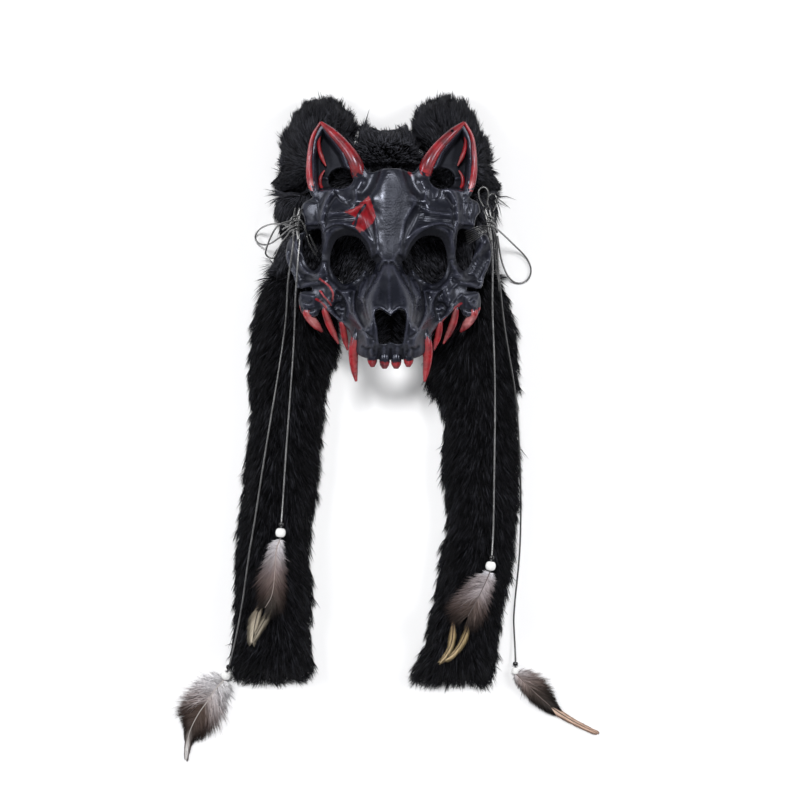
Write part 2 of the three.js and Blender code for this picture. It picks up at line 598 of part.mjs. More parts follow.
function addFur() {
  const ears = { fur_ear_left: earLeftEdge, fur_ear_right: earRightEdge };
  const isEarSeam = (x, y) => y < seams.earTop && Math.abs(x) < seams.earSide;
  for (const [name, outline] of Object.entries(ears)) {
    const heightAt = (x, y) => pileHeight(x, y, outline, earHeight, shoulders.ear);
    addPiece(name, furPiece({ outline, step: padGrid, isSewn: isEarSeam }, heightAt), plush);
  }
  const isBesideEar = (y) => y > seams.hoodEars && y < seams.earTop;
  const isBelowHood = (x, y) => Math.abs(x) < seams.hoodSide && y < seams.earTop;
  const isHoodSeam = (x, y) => y < seams.hoodBottom || isBelowHood(x, y) || isBesideEar(y);
  const cutters = Object.values(ears).map((outline) => seamCutter(outline, isEarSeam));
  const hood = { outline: hoodEdge, step: padGrid, isSewn: isHoodSeam, cutters };
  addPiece("fur_hood", furPiece(hood, hoodHeight), plush);
  const lappets = { fur_lappet_left: lappetLeftEdge, fur_lappet_right: lappetRightEdge };
  const isLappetSeam = (x, y) => y > seams.lappetTop;
  for (const [name, outline] of Object.entries(lappets)) {
    const heightAt = (x, y) => pileHeight(x, y, outline, lappetHeight, shoulders.lappet);
    addPiece(name, furPiece({ outline, step: lappetGrid, isSewn: isLappetSeam }, heightAt), plush);
  }
}

function addCords() {
  for (const [name, route] of Object.entries(lashingRoutes)) {
    addPiece(name, taperAlong(route, lashingRadii, lashingSides), waxedCord);
  }
  for (const [name, route] of Object.entries(bowRoutes)) {
    addPiece(name, cordAlong(route, bowSteps), waxedCord);
  }
  for (const [name, route] of Object.entries(smallLoopRoutes)) {
    addPiece(name, cordAlong(route, smallLoopSteps), waxedCord);
  }
  for (const [name, route] of Object.entries(tailRoutes)) {
    addPiece(name, cordAlong(route, tailSteps), waxedCord);
  }
}

function addHangings() {
  for (const { tail, dark, white, size } of beads) {
    addPiece(`dark_bead_${tail}`, beadAlong(darkBead, dark, white), darkGlaze, dark);
    addPiece(`white_bead_${tail}`, beadAlong(size, dark, white), whiteGlaze, white);
  }
  for (const { name, base, finish, edge } of feathers) {
    addPiece(name, prism(edge, base, base + featherThickness), finish);
  }
}

addPiece("skull_mask", skullMask(), plastic);
addFur();
addCords();
addHangings();

export default wolfMask;
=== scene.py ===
# Looks for the wolf mask with its fur hood: sculpted moulding, long pile, waxed cord, beads and feathers.
# Routes and tables are in millimetres, as in the part's source, and meshes are in metres.
import math

import bpy
import numpy as np
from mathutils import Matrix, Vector


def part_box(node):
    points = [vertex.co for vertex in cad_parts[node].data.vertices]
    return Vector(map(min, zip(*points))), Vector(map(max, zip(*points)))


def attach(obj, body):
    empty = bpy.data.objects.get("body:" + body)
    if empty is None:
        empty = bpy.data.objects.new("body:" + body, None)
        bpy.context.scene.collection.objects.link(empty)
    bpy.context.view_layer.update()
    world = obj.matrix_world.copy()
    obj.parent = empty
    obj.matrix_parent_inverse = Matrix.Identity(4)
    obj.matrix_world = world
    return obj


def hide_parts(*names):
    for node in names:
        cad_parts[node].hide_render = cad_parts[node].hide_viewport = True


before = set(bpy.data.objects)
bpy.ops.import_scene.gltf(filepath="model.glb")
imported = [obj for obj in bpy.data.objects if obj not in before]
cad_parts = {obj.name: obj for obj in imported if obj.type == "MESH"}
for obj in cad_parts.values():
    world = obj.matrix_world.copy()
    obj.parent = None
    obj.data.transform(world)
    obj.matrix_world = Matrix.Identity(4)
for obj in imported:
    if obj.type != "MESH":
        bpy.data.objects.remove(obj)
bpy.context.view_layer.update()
scene = bpy.context.scene
mm = 0.001


# Small tools

def deselectAll():
    if bpy.context.object and bpy.context.object.mode != "OBJECT":
        bpy.ops.object.mode_set(mode="OBJECT")
    bpy.ops.object.select_all(action="DESELECT")


def pick(piece):
    deselectAll()
    piece.select_set(True)
    bpy.context.view_layer.objects.active = piece
    return piece


def editAll(piece, kind="VERT"):
    pick(piece)
    bpy.ops.object.mode_set(mode="EDIT")
    bpy.ops.mesh.select_mode(type=kind)
    bpy.ops.mesh.select_all(action="SELECT")


def leaveEdit():
    bpy.ops.object.mode_set(mode="OBJECT")


def applyModifiers(piece):
    pick(piece)
    for modifier in list(piece.modifiers):
        bpy.ops.object.modifier_apply(modifier=modifier.name)


def settle(piece, name):
    # Puts a piece's place into its mesh and leaves its object at the origin.
    pick(piece)
    bpy.ops.object.transform_apply(location=True, rotation=True, scale=True)
    piece.name = name
    piece.data.name = name
    return piece


def readPlaces(piece):
    places = np.empty(len(piece.data.vertices) * 3, np.float32)
    piece.data.vertices.foreach_get("co", places)
    return places.reshape(-1, 3).astype(float)


def writePlaces(piece, places):
    piece.data.vertices.foreach_set("co", places.astype(np.float32).ravel())
    piece.data.update()


def readValues(piece, name):
    values = np.empty(len(piece.data.vertices), np.float32)
    piece.data.attributes[name].data.foreach_get("value", values)
    return values


def readNormals(piece):
    normals = np.empty(len(piece.data.vertices) * 3, np.float32)
    piece.data.vertices.foreach_get("normal", normals)
    return normals.reshape(-1, 3)


def setAttribute(piece, name, values):
    layer = piece.data.attributes.get(name) or piece.data.attributes.new(name, "FLOAT", "POINT")
    layer.data.foreach_set("value", np.broadcast_to(values, len(piece.data.vertices)).astype(np.float32))


def smoothRoute(points, perSpan=8, closed=False):
    # A centripetal Catmull-Rom curve through the points.
    p = np.array(points, float)
    p = np.vstack([p[-1], p, p[0], p[1]]) if closed else np.vstack([2 * p[0] - p[1], p, 2 * p[-1] - p[-2]])
    rows = []
    for a, b, c, d in zip(p, p[1:], p[2:], p[3:]):
        t0, t1, t2, t3 = np.cumsum([0] + [max(np.linalg.norm(s), 1e-6) ** 0.5 for s in (b - a, c - b, d - c)])
        t = np.linspace(t1, t2, perSpan, endpoint=False)[:, None]
        ab = (a * (t1 - t) + b * (t - t0)) / (t1 - t0)
        bc = (b * (t2 - t) + c * (t - t1)) / (t2 - t1)
        cd = (c * (t3 - t) + d * (t - t2)) / (t3 - t2)
        first = (ab * (t2 - t) + bc * (t - t0)) / (t2 - t0)
        last = (bc * (t3 - t) + cd * (t - t1)) / (t3 - t1)
        rows.append((first * (t2 - t) + last * (t - t1)) / (t2 - t1))
    if not closed:
        rows.append(p[-2:-1])
    return np.vstack(rows)


def smoothstep(value, low, high):
    share = np.clip((value - low) / (high - low), 0, 1)
    return share * share * (3 - 2 * share)


def toRoute(x, y, route):
    # Distance to a route, the side it is on (left of the route's run is positive) and how far along.
    route = np.asarray(route, float)
    best = np.full(x.shape, np.inf)
    side = np.ones(x.shape)
    along = np.zeros(x.shape)
    runs = np.hypot(*(route[1:, :2] - route[:-1, :2]).T)
    starts = np.concatenate([[0], np.cumsum(runs)])
    for i, run in enumerate(runs):
        if run < 1e-9:
            continue
        (ax, ay), (bx, by) = route[i, :2], route[i + 1, :2]
        dx, dy = bx - ax, by - ay
        share = np.clip(((x - ax) * dx + (y - ay) * dy) / (run * run), 0, 1)
        far = np.hypot(x - ax - share * dx, y - ay - share * dy)
        nearer = far < best
        best = np.where(nearer, far, best)
        side = np.where(nearer, np.sign(dx * (y - ay) - dy * (x - ax)), side)
        along = np.where(nearer, starts[i] + share * run, along)
    return best, side, along / starts[-1]


def dress(piece, slot, *nodes):
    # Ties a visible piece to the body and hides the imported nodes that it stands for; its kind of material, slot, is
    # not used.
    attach(piece, "root")
    if nodes:
        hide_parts(*nodes)


def isInside(x, y, outline):
    inside = np.zeros(x.shape, bool)
    for (ax, ay), (bx, by) in zip(outline, np.roll(outline, -1, axis=0)):
        if ay != by:
            inside ^= ((ay > y) != (by > y)) & (x < ax + (y - ay) * (bx - ax) / (by - ay))
    return inside


def depthInside(x, y, outline, openOnAxis=False):
    # Distance to an outline, positive inside it. An open one has no edge on the centre line.
    closed = outline if openOnAxis else np.vstack([outline, outline[:1]])
    return np.where(isInside(x, y, outline), 1, -1) * toRoute(x, y, closed)[0]


def wander(x, y, size, seed):
    # Smooth noise between -1 and 1 with lumps of about that size.
    turn = seed * 1.7
    total = np.zeros(np.shape(x))
    for k, (angle, stretch) in enumerate([(0.3, 1.0), (1.4, 1.31), (2.2, 0.83), (2.9, 1.57), (0.9, 2.03)]):
        across = x * math.cos(angle + turn) + y * math.sin(angle + turn)
        other = -x * math.sin(angle + turn) + y * math.cos(angle + turn)
        total += np.sin(across * stretch * 3.1 / size + 1.3 * k + np.sin(other * 2.1 / size + seed + k))
    return total / 5


# Materials

def newMaterial(name, **inputs):
    material = bpy.data.materials.new(name)
    material.use_nodes = True
    tree = material.node_tree
    shader = tree.nodes["Principled BSDF"]
    for key, value in inputs.items():
        shader.inputs[key.replace("_", " ")].default_value = value
    return material, tree, shader


def feed(tree, socket, value):
    if isinstance(value, bpy.types.NodeSocket):
        tree.links.new(value, socket)
    elif value is not None:
        socket.default_value = value


def addNode(tree, kind, settings=None, **inputs):
    node = tree.nodes.new(kind)
    for key, value in (settings or {}).items():
        setattr(node, key, value)
    for key, value in inputs.items():
        feed(tree, node.inputs[key.replace("_", " ")], value)
    return node


def readAttribute(tree, name):
    return addNode(tree, "ShaderNodeAttribute", {"attribute_name": name}).outputs["Fac"]


def calculate(tree, operation, first, second=0.0, third=None):
    node = tree.nodes.new("ShaderNodeMath")
    node.operation = operation
    for socket, value in zip(node.inputs, (first, second, third)):
        feed(tree, socket, value)
    return node.outputs[0]


def mixColours(tree, amount, first, second, blend="MIX"):
    node = tree.nodes.new("ShaderNodeMix")
    node.data_type = "RGBA"
    node.blend_type = blend
    for index, value in ((0, amount), (6, first), (7, second)):
        feed(tree, node.inputs[index], value)
    return node.outputs[2]


def spread(tree, value, low, high, top=1.0):
    # Maps low to 0 and high to top, and stays between them.
    return addNode(tree, "ShaderNodeMapRange", {"clamp": True}, Value=value, From_Min=low, From_Max=high,
                   To_Max=top).outputs[0]


def noiseAt(tree, scale, detail=3.0, stretch=(1, 1, 1), kind="ShaderNodeTexNoise", output="Fac"):
    place = addNode(tree, "ShaderNodeTexCoord").outputs["Object"]
    mapping = addNode(tree, "ShaderNodeMapping", Vector=place, Scale=stretch)
    node = addNode(tree, kind, Vector=mapping.outputs[0], Scale=scale)
    if "Detail" in node.inputs:
        node.inputs["Detail"].default_value = detail
    return node.outputs[output]


def rampOf(tree, amount, stops):
    node = addNode(tree, "ShaderNodeValToRGB", Fac=amount)
    ramp = node.color_ramp
    while len(ramp.elements) < len(stops):
        ramp.elements.new(0.5)
    for element, (place, colour) in zip(ramp.elements, stops):
        element.position = place
        element.color = (*colour, 1)
    return node.outputs[0]


def roughen(tree, shader, height, distance, strength=1.0):
    bump = addNode(tree, "ShaderNodeBump", Height=height, Distance=distance, Strength=strength)
    tree.links.new(bump.outputs[0], shader.inputs["Normal"])


# Camera, floor and light

stage = {
    "lens": 150, "sensor": 36, "farClip": 20, "camera": (8.1, -128.7, 3060), "aim": (0, -50, 50),
    "floor": {"size": 7000, "drop": 0.5, "roughness": 0.8, "low": (0.93575, 0.93575, 0.9456),
              "high": (0.95, 0.95, 0.96)},
    # a wide far light over the top, and softboxes at the sides and the foot: place, size and power;
    # straight above stays dark, so that black reads as black
    "key": {"place": (-120, 700, 2250), "strength": 2.35, "spread": 11.6},
    "lamps": [((-1300, 300, 1050), 420, 9), ((1300, 250, 1050), 420, 9), ((0, -1700, 1250), 500, 4)],
    # how bright the sky is from the horizon up, and its tint
    "sky": [(0.0, 0.3), (0.45, 0.14), (0.8, 0.04), (1.0, 0.02)], "skyTint": (0.94, 0.96, 1.0),
}


def addLamp(kind, place):
    bpy.ops.object.light_add(type=kind, location=Vector(place) * mm)
    lamp = bpy.context.object
    lamp.visible_camera = False
    towards = Vector(stage["aim"]) * mm - lamp.location
    lamp.rotation_euler = towards.to_track_quat("-Z", "Y").to_euler()
    return lamp


def addStage():
    bpy.ops.object.camera_add(location=Vector(stage["camera"]) * mm, rotation=(0, 0, 0))
    camera = bpy.context.object
    camera.data.lens = stage["lens"]
    camera.data.sensor_width = stage["sensor"]
    camera.data.clip_end = stage["farClip"]
    scene.camera = camera
    scene.view_settings.view_transform = "Standard"
    look = stage["floor"]
    bpy.ops.mesh.primitive_plane_add(size=look["size"] * mm, location=(0, 0, -look["drop"] * mm))
    floor = settle(bpy.context.object, "floor")
    material, tree, shader = newMaterial("pale floor", Roughness=look["roughness"])
    colour = rampOf(tree, noiseAt(tree, 3, 2), [(0.3, look["low"]), (0.7, look["high"])])
    tree.links.new(colour, shader.inputs["Base Color"])
    floor.data.materials.append(material)
    key = addLamp("SUN", stage["key"]["place"])
    key.data.energy = stage["key"]["strength"]
    key.data.angle = math.radians(stage["key"]["spread"])
    for place, size, power in stage["lamps"]:
        lamp = addLamp("AREA", place)
        lamp.data.size = size * mm
        lamp.data.energy = power
    world = bpy.data.worlds.new("studio") if scene.world is None else scene.world
    scene.world = world
    world.use_nodes = True
    tree = world.node_tree
    ahead = addNode(tree, "ShaderNodeTexCoord").outputs["Generated"]
    climb = addNode(tree, "ShaderNodeSeparateXYZ", Vector=ahead).outputs["Z"]
    glow = rampOf(tree, climb, [(at, tuple(light * c for c in stage["skyTint"])) for at, light in stage["sky"]])
    tree.links.new(glow, tree.nodes["Background"].inputs["Color"])


# Cord: its tails, its bows and what is wound at the temples

cordLook = {
    "radius": 0.8, "easing": 6, "strandEnds": 0.85, "dark": (0.008, 0.008, 0.009),
    # the grey painted onto each black cord as its sheen, where light runs along it: pale for the tails, and one for
    # each cord listed
    "pale": 0.3, "sheenAt": {
        "cord_tail_left_long": 0.17, "cord_tail_right_long": 0.07, "bow_loop_left_outer": 0.13,
        "bow_loop_left_inner": 0.03, "bow_loop_right": 0.12, "loop_right_upper": 0.03, "loop_right_lower": 0.03,
        "lashing_left": 0.028, "lashing_right": 0.055,
    },
}
tailRoutes = {
    "cord_tail_left_short": [
        [-82, 15, 64], [-83.5, -2, 66], [-84.7, -20, 65], [-85.6, -31, 60], [-86.6, -43, 47], [-87.5, -60, 37],
        [-89, -90, 35], [-92.5, -137, 35], [-95.8, -183, 35], [-98, -218, 35.6], [-99.4, -239, 38.3],
        [-99.6, -241.4, 38.4], [-100.2, -249, 38.6], [-100.7, -255.4, 38.8],
    ],
    "cord_tail_left_long": [
        [-87.5, 14, 64], [-90, -4, 62.4], [-92.6, -20, 54], [-94, -34, 43], [-95.5, -58, 35.6],
        [-103.2, -110, 35], [-114.5, -178, 35], [-124, -240, 32.6], [-129.5, -272, 30.8], [-134, -306, 28.8],
        [-139, -334, 23.8], [-143, -352, 19.4], [-147.9, -371.1, 12.5], [-148.6, -373, 11.2],
        [-151.2, -380.6, 6.2], [-153.2, -386.4, 2.4],
    ],
    "cord_tail_right_short": [
        [90.6, 14, 59], [91.6, 0, 57], [91.6, -18, 53], [91.8, -46, 37], [93.3, -80, 35], [94.4, -130, 35],
        [93.6, -194, 34.6], [93, -236, 34.8], [92.5, -252, 35.8], [91.4, -269, 38.1], [91.1, -271.4, 38.2],
        [90.2, -279.2, 38.5], [89.5, -285.3, 38.7],
    ],
    "cord_tail_right_long": [
        [95.8, 13, 53], [97, -10, 46], [99.7, -35, 37], [102.6, -60, 34], [106.5, -84, 31], [111.5, -112, 25],
        [115, -140, 20], [117.4, -180, 16.4], [118.6, -214, 9], [118.8, -240, 3], [117.5, -275, 1.4],
        [114, -308, 1.4], [112.3, -330, 1.4], [113.2, -348, 1.8], [114, -368.2, 3.8], [113.9, -370.6, 3.8],
        [113.7, -377, 3.9], [113.5, -382.4, 4],
    ],
}
loopRoutes = {
    "bow_loop_left_outer": [
        [-90.8, 29, 57], [-104, 31, 44], [-114, 30, 24], [-121, 27, 9], [-125, 21, 3], [-122, 15, 4],
        [-113, 13, 15], [-104, 17, 32], [-92.4, 25, 53],
    ],
    "bow_loop_left_inner": [
        [-90.6, 32, 64], [-100.6, 29.6, 57], [-107.6, 22, 41], [-112.4, 12.4, 27.4], [-114.6, 6.4, 19.6],
        [-114.5, 4.4, 17.3], [-112.8, 2.3, 15.9], [-110.2, 0.8, 16], [-107.6, 0.6, 17.4], [-106, 1.6, 19.8],
        [-103, 7, 29.6], [-98.8, 14, 42], [-92, 21, 55],
    ],
    "bow_loop_right": [
        [94, 27, 54], [104, 19.6, 32], [113.6, 11.6, 14], [121.6, 4.6, 4.4], [126.6, -2.6, 1.8], [128.4, -10, 1.2],
        [126.4, -16.8, 1.1], [121, -21, 1.1], [114.4, -21.4, 1.4], [108, -16.8, 5.6], [103.4, -9, 17], [100, -1, 34],
        [97.8, 9, 47], [96, 19, 56],
    ],
    "loop_right_upper": [
        [83.4, 45.5, 60], [80.6, 50.5, 58.4], [78.9, 55, 57], [78.7, 59, 56], [80.2, 62.1, 55.3], [83, 63.4, 55],
        [85.9, 62.1, 55.3], [87.4, 59, 56.2], [87.3, 54.6, 57.6], [85.8, 46.5, 61],
    ],
    "loop_right_lower": [
        [88, 44, 58], [86.7, 48.4, 55.6], [86.6, 52.4, 53.4], [87.8, 55.6, 51.4], [90.4, 57.4, 50], [93.2, 57, 49.2],
        [95.1, 54.6, 49.4], [95.5, 51.2, 50.4], [94.3, 47, 52.4], [91.6, 41.5, 56],
    ],
}


def cordMaterial(sheenAmount):
    material, tree, shader = newMaterial("waxed cord", Roughness=0.35, Specular_IOR_Level=0.9, Coat_Weight=1.0,
                                         Coat_Roughness=0.22)
    # the black cord is mixed in strands and patches towards its grey: a painted sheen
    strands = noiseAt(tree, 900, 2)
    sheenPatches = noiseAt(tree, 120, 3)
    mixed = calculate(tree, "MULTIPLY", strands, calculate(tree, "ADD", sheenPatches, 0.35))
    colour = rampOf(tree, mixed, [(0.25, cordLook["dark"]), (0.75, (sheenAmount, sheenAmount, sheenAmount * 1.03))])
    tree.links.new(colour, shader.inputs["Base Color"])
    roughen(tree, shader, strands, 0.0002, 0.5)
    return material


def layCord(name, route, material):
    # A round cord on a smooth route, eased so that no bend is tight.
    line = smoothRoute(route, 6) * mm
    for i in range(cordLook["easing"]):
        line[1:-1] = 0.25 * line[:-2] + 0.5 * line[1:-1] + 0.25 * line[2:]
    curve = bpy.data.curves.new(name, "CURVE")
    curve.dimensions = "3D"
    spline = curve.splines.new("POLY")
    spline.points.add(len(line) - 1)
    spline.points.foreach_set("co", np.hstack([line, np.ones((len(line), 1))]).ravel())
    curve.bevel_depth = cordLook["radius"] * mm
    curve.bevel_resolution = 3
    curve.use_fill_caps = True
    cord = bpy.data.objects.new(name, curve)
    scene.collection.objects.link(cord)
    curve.materials.append(material)
    length = float(np.linalg.norm(line[1:] - line[:-1], axis=1).sum())
    return cord, line, length


def taperedRod(name, route, radii, sides, perSpan):
    # A closed round taper along a route, its radii read at even steps.
    line = smoothRoute(route, perSpan)
    runs = np.concatenate([[0], np.cumsum(np.linalg.norm(line[1:] - line[:-1], axis=1))])
    share = runs / runs[-1]
    width = np.interp(share, np.linspace(0, 1, len(radii)), radii)
    ahead = np.gradient(line, axis=0)
    ahead /= np.linalg.norm(ahead, axis=1)[:, None]
    up = np.array([0, 0, 1.0])
    across = np.cross(ahead, up)
    steep = np.linalg.norm(across, axis=1) < 1e-3
    across[steep] = [1, 0, 0]
    across /= np.linalg.norm(across, axis=1)[:, None]
    over = np.cross(across, ahead)
    turns = np.linspace(0, 2 * math.pi, sides, endpoint=False)
    rings = (
        line[:, None] + across[:, None] * (np.cos(turns)[None, :, None] * width[:, None, None])
        + over[:, None] * (np.sin(turns)[None, :, None] * width[:, None, None])
    )
    count = len(line)
    places = np.vstack([rings.reshape(-1, 3), line[:1], line[-1:]]) * mm
    faces = []
    for i in range(count - 1):
        for j in range(sides):
            k = (j + 1) % sides
            faces.append((i * sides + j, i * sides + k, (i + 1) * sides + k, (i + 1) * sides + j))
    for j in range(sides):
        k = (j + 1) % sides
        faces.append((count * sides, k, j))
        faces.append((count * sides + 1, (count - 1) * sides + j, (count - 1) * sides + k))
    mesh = bpy.data.meshes.new(name)
    mesh.from_pydata(places.tolist(), [], faces)
    rod = bpy.data.objects.new(name, mesh)
    scene.collection.objects.link(rod)
    editAll(rod)
    bpy.ops.mesh.normals_make_consistent(inside=False)
    leaveEdit()
    setAttribute(rod, "along", np.concatenate([np.repeat(share, sides), [0, 1]]))
    for key, values in (("upper", np.sin(turns)), ("across", np.cos(turns))):
        setAttribute(rod, key, np.concatenate([np.tile(values, count), [0, 0]]))
    return rod


def joinInto(name, parts):
    deselectAll()
    for part in parts:
        part.select_set(True)
    bpy.context.view_layer.objects.active = parts[0]
    if len(parts) > 1:
        bpy.ops.object.join()
    return settle(bpy.context.object, name)


def shadeSmooth(piece, angle=None):
    pick(piece)
    if angle is None:
        bpy.ops.object.shade_smooth()
    else:
        bpy.ops.object.shade_smooth_by_angle(angle=math.radians(angle))


# What is wound at each temple, as (route, radius): strands of the lacing, the knot and the hanging bundle.
lashings = {
    "lashing_left": [
        ([[-82, 44, 61], [-84, 37, 62], [-85, 31, 62], [-84.6, 24, 62], [-83.6, 14, 63]], 1.3),
        ([[-80, 43, 60], [-82.6, 36, 63], [-83.4, 28, 63], [-83, 20, 62], [-82.4, 13, 63]], 1.1),
        ([[-86, 44, 58], [-87, 35, 61], [-87.4, 27, 60], [-87.6, 18, 62], [-87.5, 13, 64]], 1.2),
        ([[-79.6, 31, 61], [-84, 32.6, 65.4], [-89.6, 31, 61], [-90.6, 29, 57]], 1.1),
        ([[-79.8, 28, 61], [-84, 28.4, 65.2], [-90, 26.6, 60], [-92.2, 25, 54]], 1.1),
        ([[-80.4, 24.8, 61], [-84.6, 25, 65], [-89.6, 24, 59], [-92.4, 21.4, 55]], 1.0),
        ([[-81, 35, 60], [-85, 36.6, 64], [-89, 35, 62], [-91, 32, 63]], 1.0),
        ([[-76, 19.6, 60], [-74, 13, 59], [-70.6, 6.6, 57], [-67.6, 1.6, 55]], 0.9),
        ([[-73.6, 20.6, 60], [-71, 14.6, 59], [-68, 8.6, 57], [-66.4, 5, 55]], 0.9),
        ([[-84, 36, 63], [-79, 30, 62.6], [-76.6, 24, 61.6], [-74.8, 19, 60]], 0.9),
        ([[-95, 29, 50], [-90, 24, 55], [-86.4, 19.6, 61]], 0.9),
        ([[-95.6, 22.6, 48], [-91, 26.6, 55], [-87, 31, 61.6]], 0.9),
        ([[-98, 25.6, 44], [-93.4, 27.6, 53], [-87.8, 28.6, 61.4]], 0.9),
    ],
    "lashing_right": [
        ([[85, 44, 58], [87, 37, 59], [88.4, 30, 59], [89.6, 22, 59], [90.6, 14, 59.5]], 1.3),
        ([[83.4, 42.6, 58], [86, 35, 60], [87, 28, 60], [88.4, 20, 59.6], [90.4, 12, 59]], 1.1),
        ([[88.6, 43.6, 56], [90, 35, 57], [92, 27, 57], [94.4, 19, 56], [95.8, 12, 54]], 1.2),
        ([[92.6, 40, 53], [92.4, 30, 57], [93.4, 20, 56], [93, 8, 56], [94.6, -6, 52], [97, -22, 45]], 0.7),
        ([[90.6, 30, 60], [92.6, 20, 58.4], [95, 6, 54], [96.6, -12, 48], [97.6, -30, 40.6]], 0.7),
        ([[83, 30.6, 58], [87.6, 32, 62], [93, 30, 57.6], [94.6, 27, 54]], 1.1),
        ([[83.4, 27, 58], [88, 28, 62], [93.6, 26, 57.4], [96, 22, 55.6]], 1.1),
        ([[84, 35.4, 57.6], [88, 36.4, 61], [92, 34.8, 57]], 1.0),
        ([[66, 22.4, 58], [73, 25.6, 60.6], [80, 27.8, 61], [87, 28.4, 60]], 0.3),
        ([[66.6, 20.6, 58], [73, 23.6, 60.6], [80, 26.2, 61], [87, 27.4, 60]], 0.3),
        ([[67, 18.8, 58], [73.6, 21.8, 60.6], [80, 24.8, 61], [87, 26.8, 60]], 0.3),
        ([[67.4, 17, 58], [74, 20, 60.4], [80.4, 23.2, 61], [87, 26, 60]], 0.3),
        ([[68, 15.2, 58], [74.4, 18.4, 60.2], [80.8, 22, 60.8], [87, 25.4, 60]], 0.3),
        ([[68.6, 13.4, 58], [75, 16.8, 60], [81.2, 20.8, 60.6], [87, 24.8, 60]], 0.3),
        ([[69.4, 11.6, 58], [75.4, 15.2, 59.8], [81.8, 19.6, 60.4], [87.4, 24, 60]], 0.3),
    ],
}


def addCords():
    finishes = {sheenAmount: cordMaterial(sheenAmount) for sheenAmount in [cordLook["pale"], *sorted(set(cordLook["sheenAt"].values()))]}
    cords = {}
    for name, route in {**tailRoutes, **loopRoutes}.items():
        sheenAmount = cordLook["sheenAt"].get(name, cordLook["pale"])
        cords[name] = layCord(name + "_cord", route, finishes[sheenAmount])
        dress(cords[name][0], "cord", name)
    thin = cordLook["strandEnds"]
    for name, strands in lashings.items():
        parts = [taperedRod("strand", route, [radius * thin, radius, radius, radius * thin], 8, 5)
                 for route, radius in strands]
        winding = joinInto(name + "_winding", parts)
        shadeSmooth(winding)
        winding.data.materials.append(finishes[cordLook["sheenAt"][name]])
        dress(winding, "cord", name)
    return cords


# The moulding. Half tables run [distance from the centre line, y], and the centre line wanders a little.

mould = {
    "grid": 0.66, "backGrid": 2.64, "wall": 3.2, "left": -96.4, "right": 95.0, "bottom": -97.0, "top": 127.0,
    "roll": 1.7, "backSmooth": 6.0, "smoothAngle": 48,
    # the face before its carving: a dome, the muzzle on it, and how far it sinks at the ears, eyes and temples
    "level": 44, "dome": 38, "halfWidth": 100, "roundness": 2.3, "browFall": 0.004, "chinFall": 0.002,
    "muzzle": 42, "earSink": 17, "eyeSink": 6, "browSink": 3, "eyeReach": 8, "templeSink": 4, "templeReach": 6,
    # colours: slate in random tones, pale slate for abrasion and painted highlight, the painted shade, the gloss tint,
    # and red paint with the pink of its painted highlight
    "slate": (0.0045, 0.005, 0.0085), "slateHigh": (0.00765, 0.0085, 0.01445), "slateLight": (0.045, 0.047, 0.068),
    "shade": (0.003, 0.003, 0.005), "gloss": (0.8, 0.84, 1.0),
    "red": (0.31, 0.006, 0.011), "redDeep": (0.07, 0.002, 0.004), "pink": (0.58, 0.22, 0.22),
}
centreRows = [[-95, -0.5], [-65, 0.4], [-40, -1.2], [0, -2.2], [60, 0.2], [120, 1.4]]
muzzleRows = [  # y, half width of the flat top, of the foot, and how far it has risen
    [-95, 26, 52, 0.66], [-75, 18, 46, 0.98], [-55, 14.6, 44, 1], [-35, 12, 38, 0.8], [-20, 7, 28, 0.47],
    [-5, 3, 13, 0.14], [8, 2, 8, 0],
]
maskEdge = [
    [0, 78.6], [9, 78.2], [19, 75.2], [22.5, 78], [27.5, 86.4], [36, 98.6], [47.6, 111.4], [58.4, 119.4],
    [65.2, 121.8], [69.4, 116.6], [73, 105.6], [75, 92], [75.2, 77], [73.4, 61.4], [70.6, 53.6],
    [78, 49.5], [81, 41], [77.5, 36], [77, 23], [88, 20],
    [93, 7], [91.5, -5], [86, -17], [82.5, -28], [70, -27.5], [70, -30.5],
    [80, -31.5], [82, -42], [78, -53], [66, -53],
    [62, -46], [55, -50], [45, -60], [36.5, -69], [34, -82], [26, -90], [12, -92.6], [0, -93],
]
eyeHole = [
    [11.8, -5], [13.5, -13.8], [16.2, -16.7], [20.7, -12.4], [26.5, -18], [39.2, -24.8],
    [48.5, -18], [52.6, -7], [50.5, 9], [45, 17.5], [34.5, 19], [26, 15.5], [18.5, 4.5], [15.5, -2.5],
]
templeHole = [[63, 25], [76, 21], [78, 10], [74, -6], [67.5, -12.5], [61, -5], [60.5, 10]]
noseHole = [
    [0, -54.6], [4.6, -51], [8.5, -48.6], [12.3, -50], [13.8, -54], [12, -65.7], [10, -79], [4, -79], [0, -77.5],
]
earHole = {"at": [45.5, 70.6], "across": 11.6, "along": 10.2}
earBowl = [
    [37, 74], [45, 94], [54, 106], [63, 116], [69, 105], [71, 90], [70, 70], [66, 58], [54, 59], [37, 62],
]
browShield = [
    [-4, 85], [0, 85], [9, 80], [14, 62], [22.5, 49.5], [18, 40], [13.5, 31], [11.5, 18], [10, 3], [6, -6.4], [-6, -7],
]

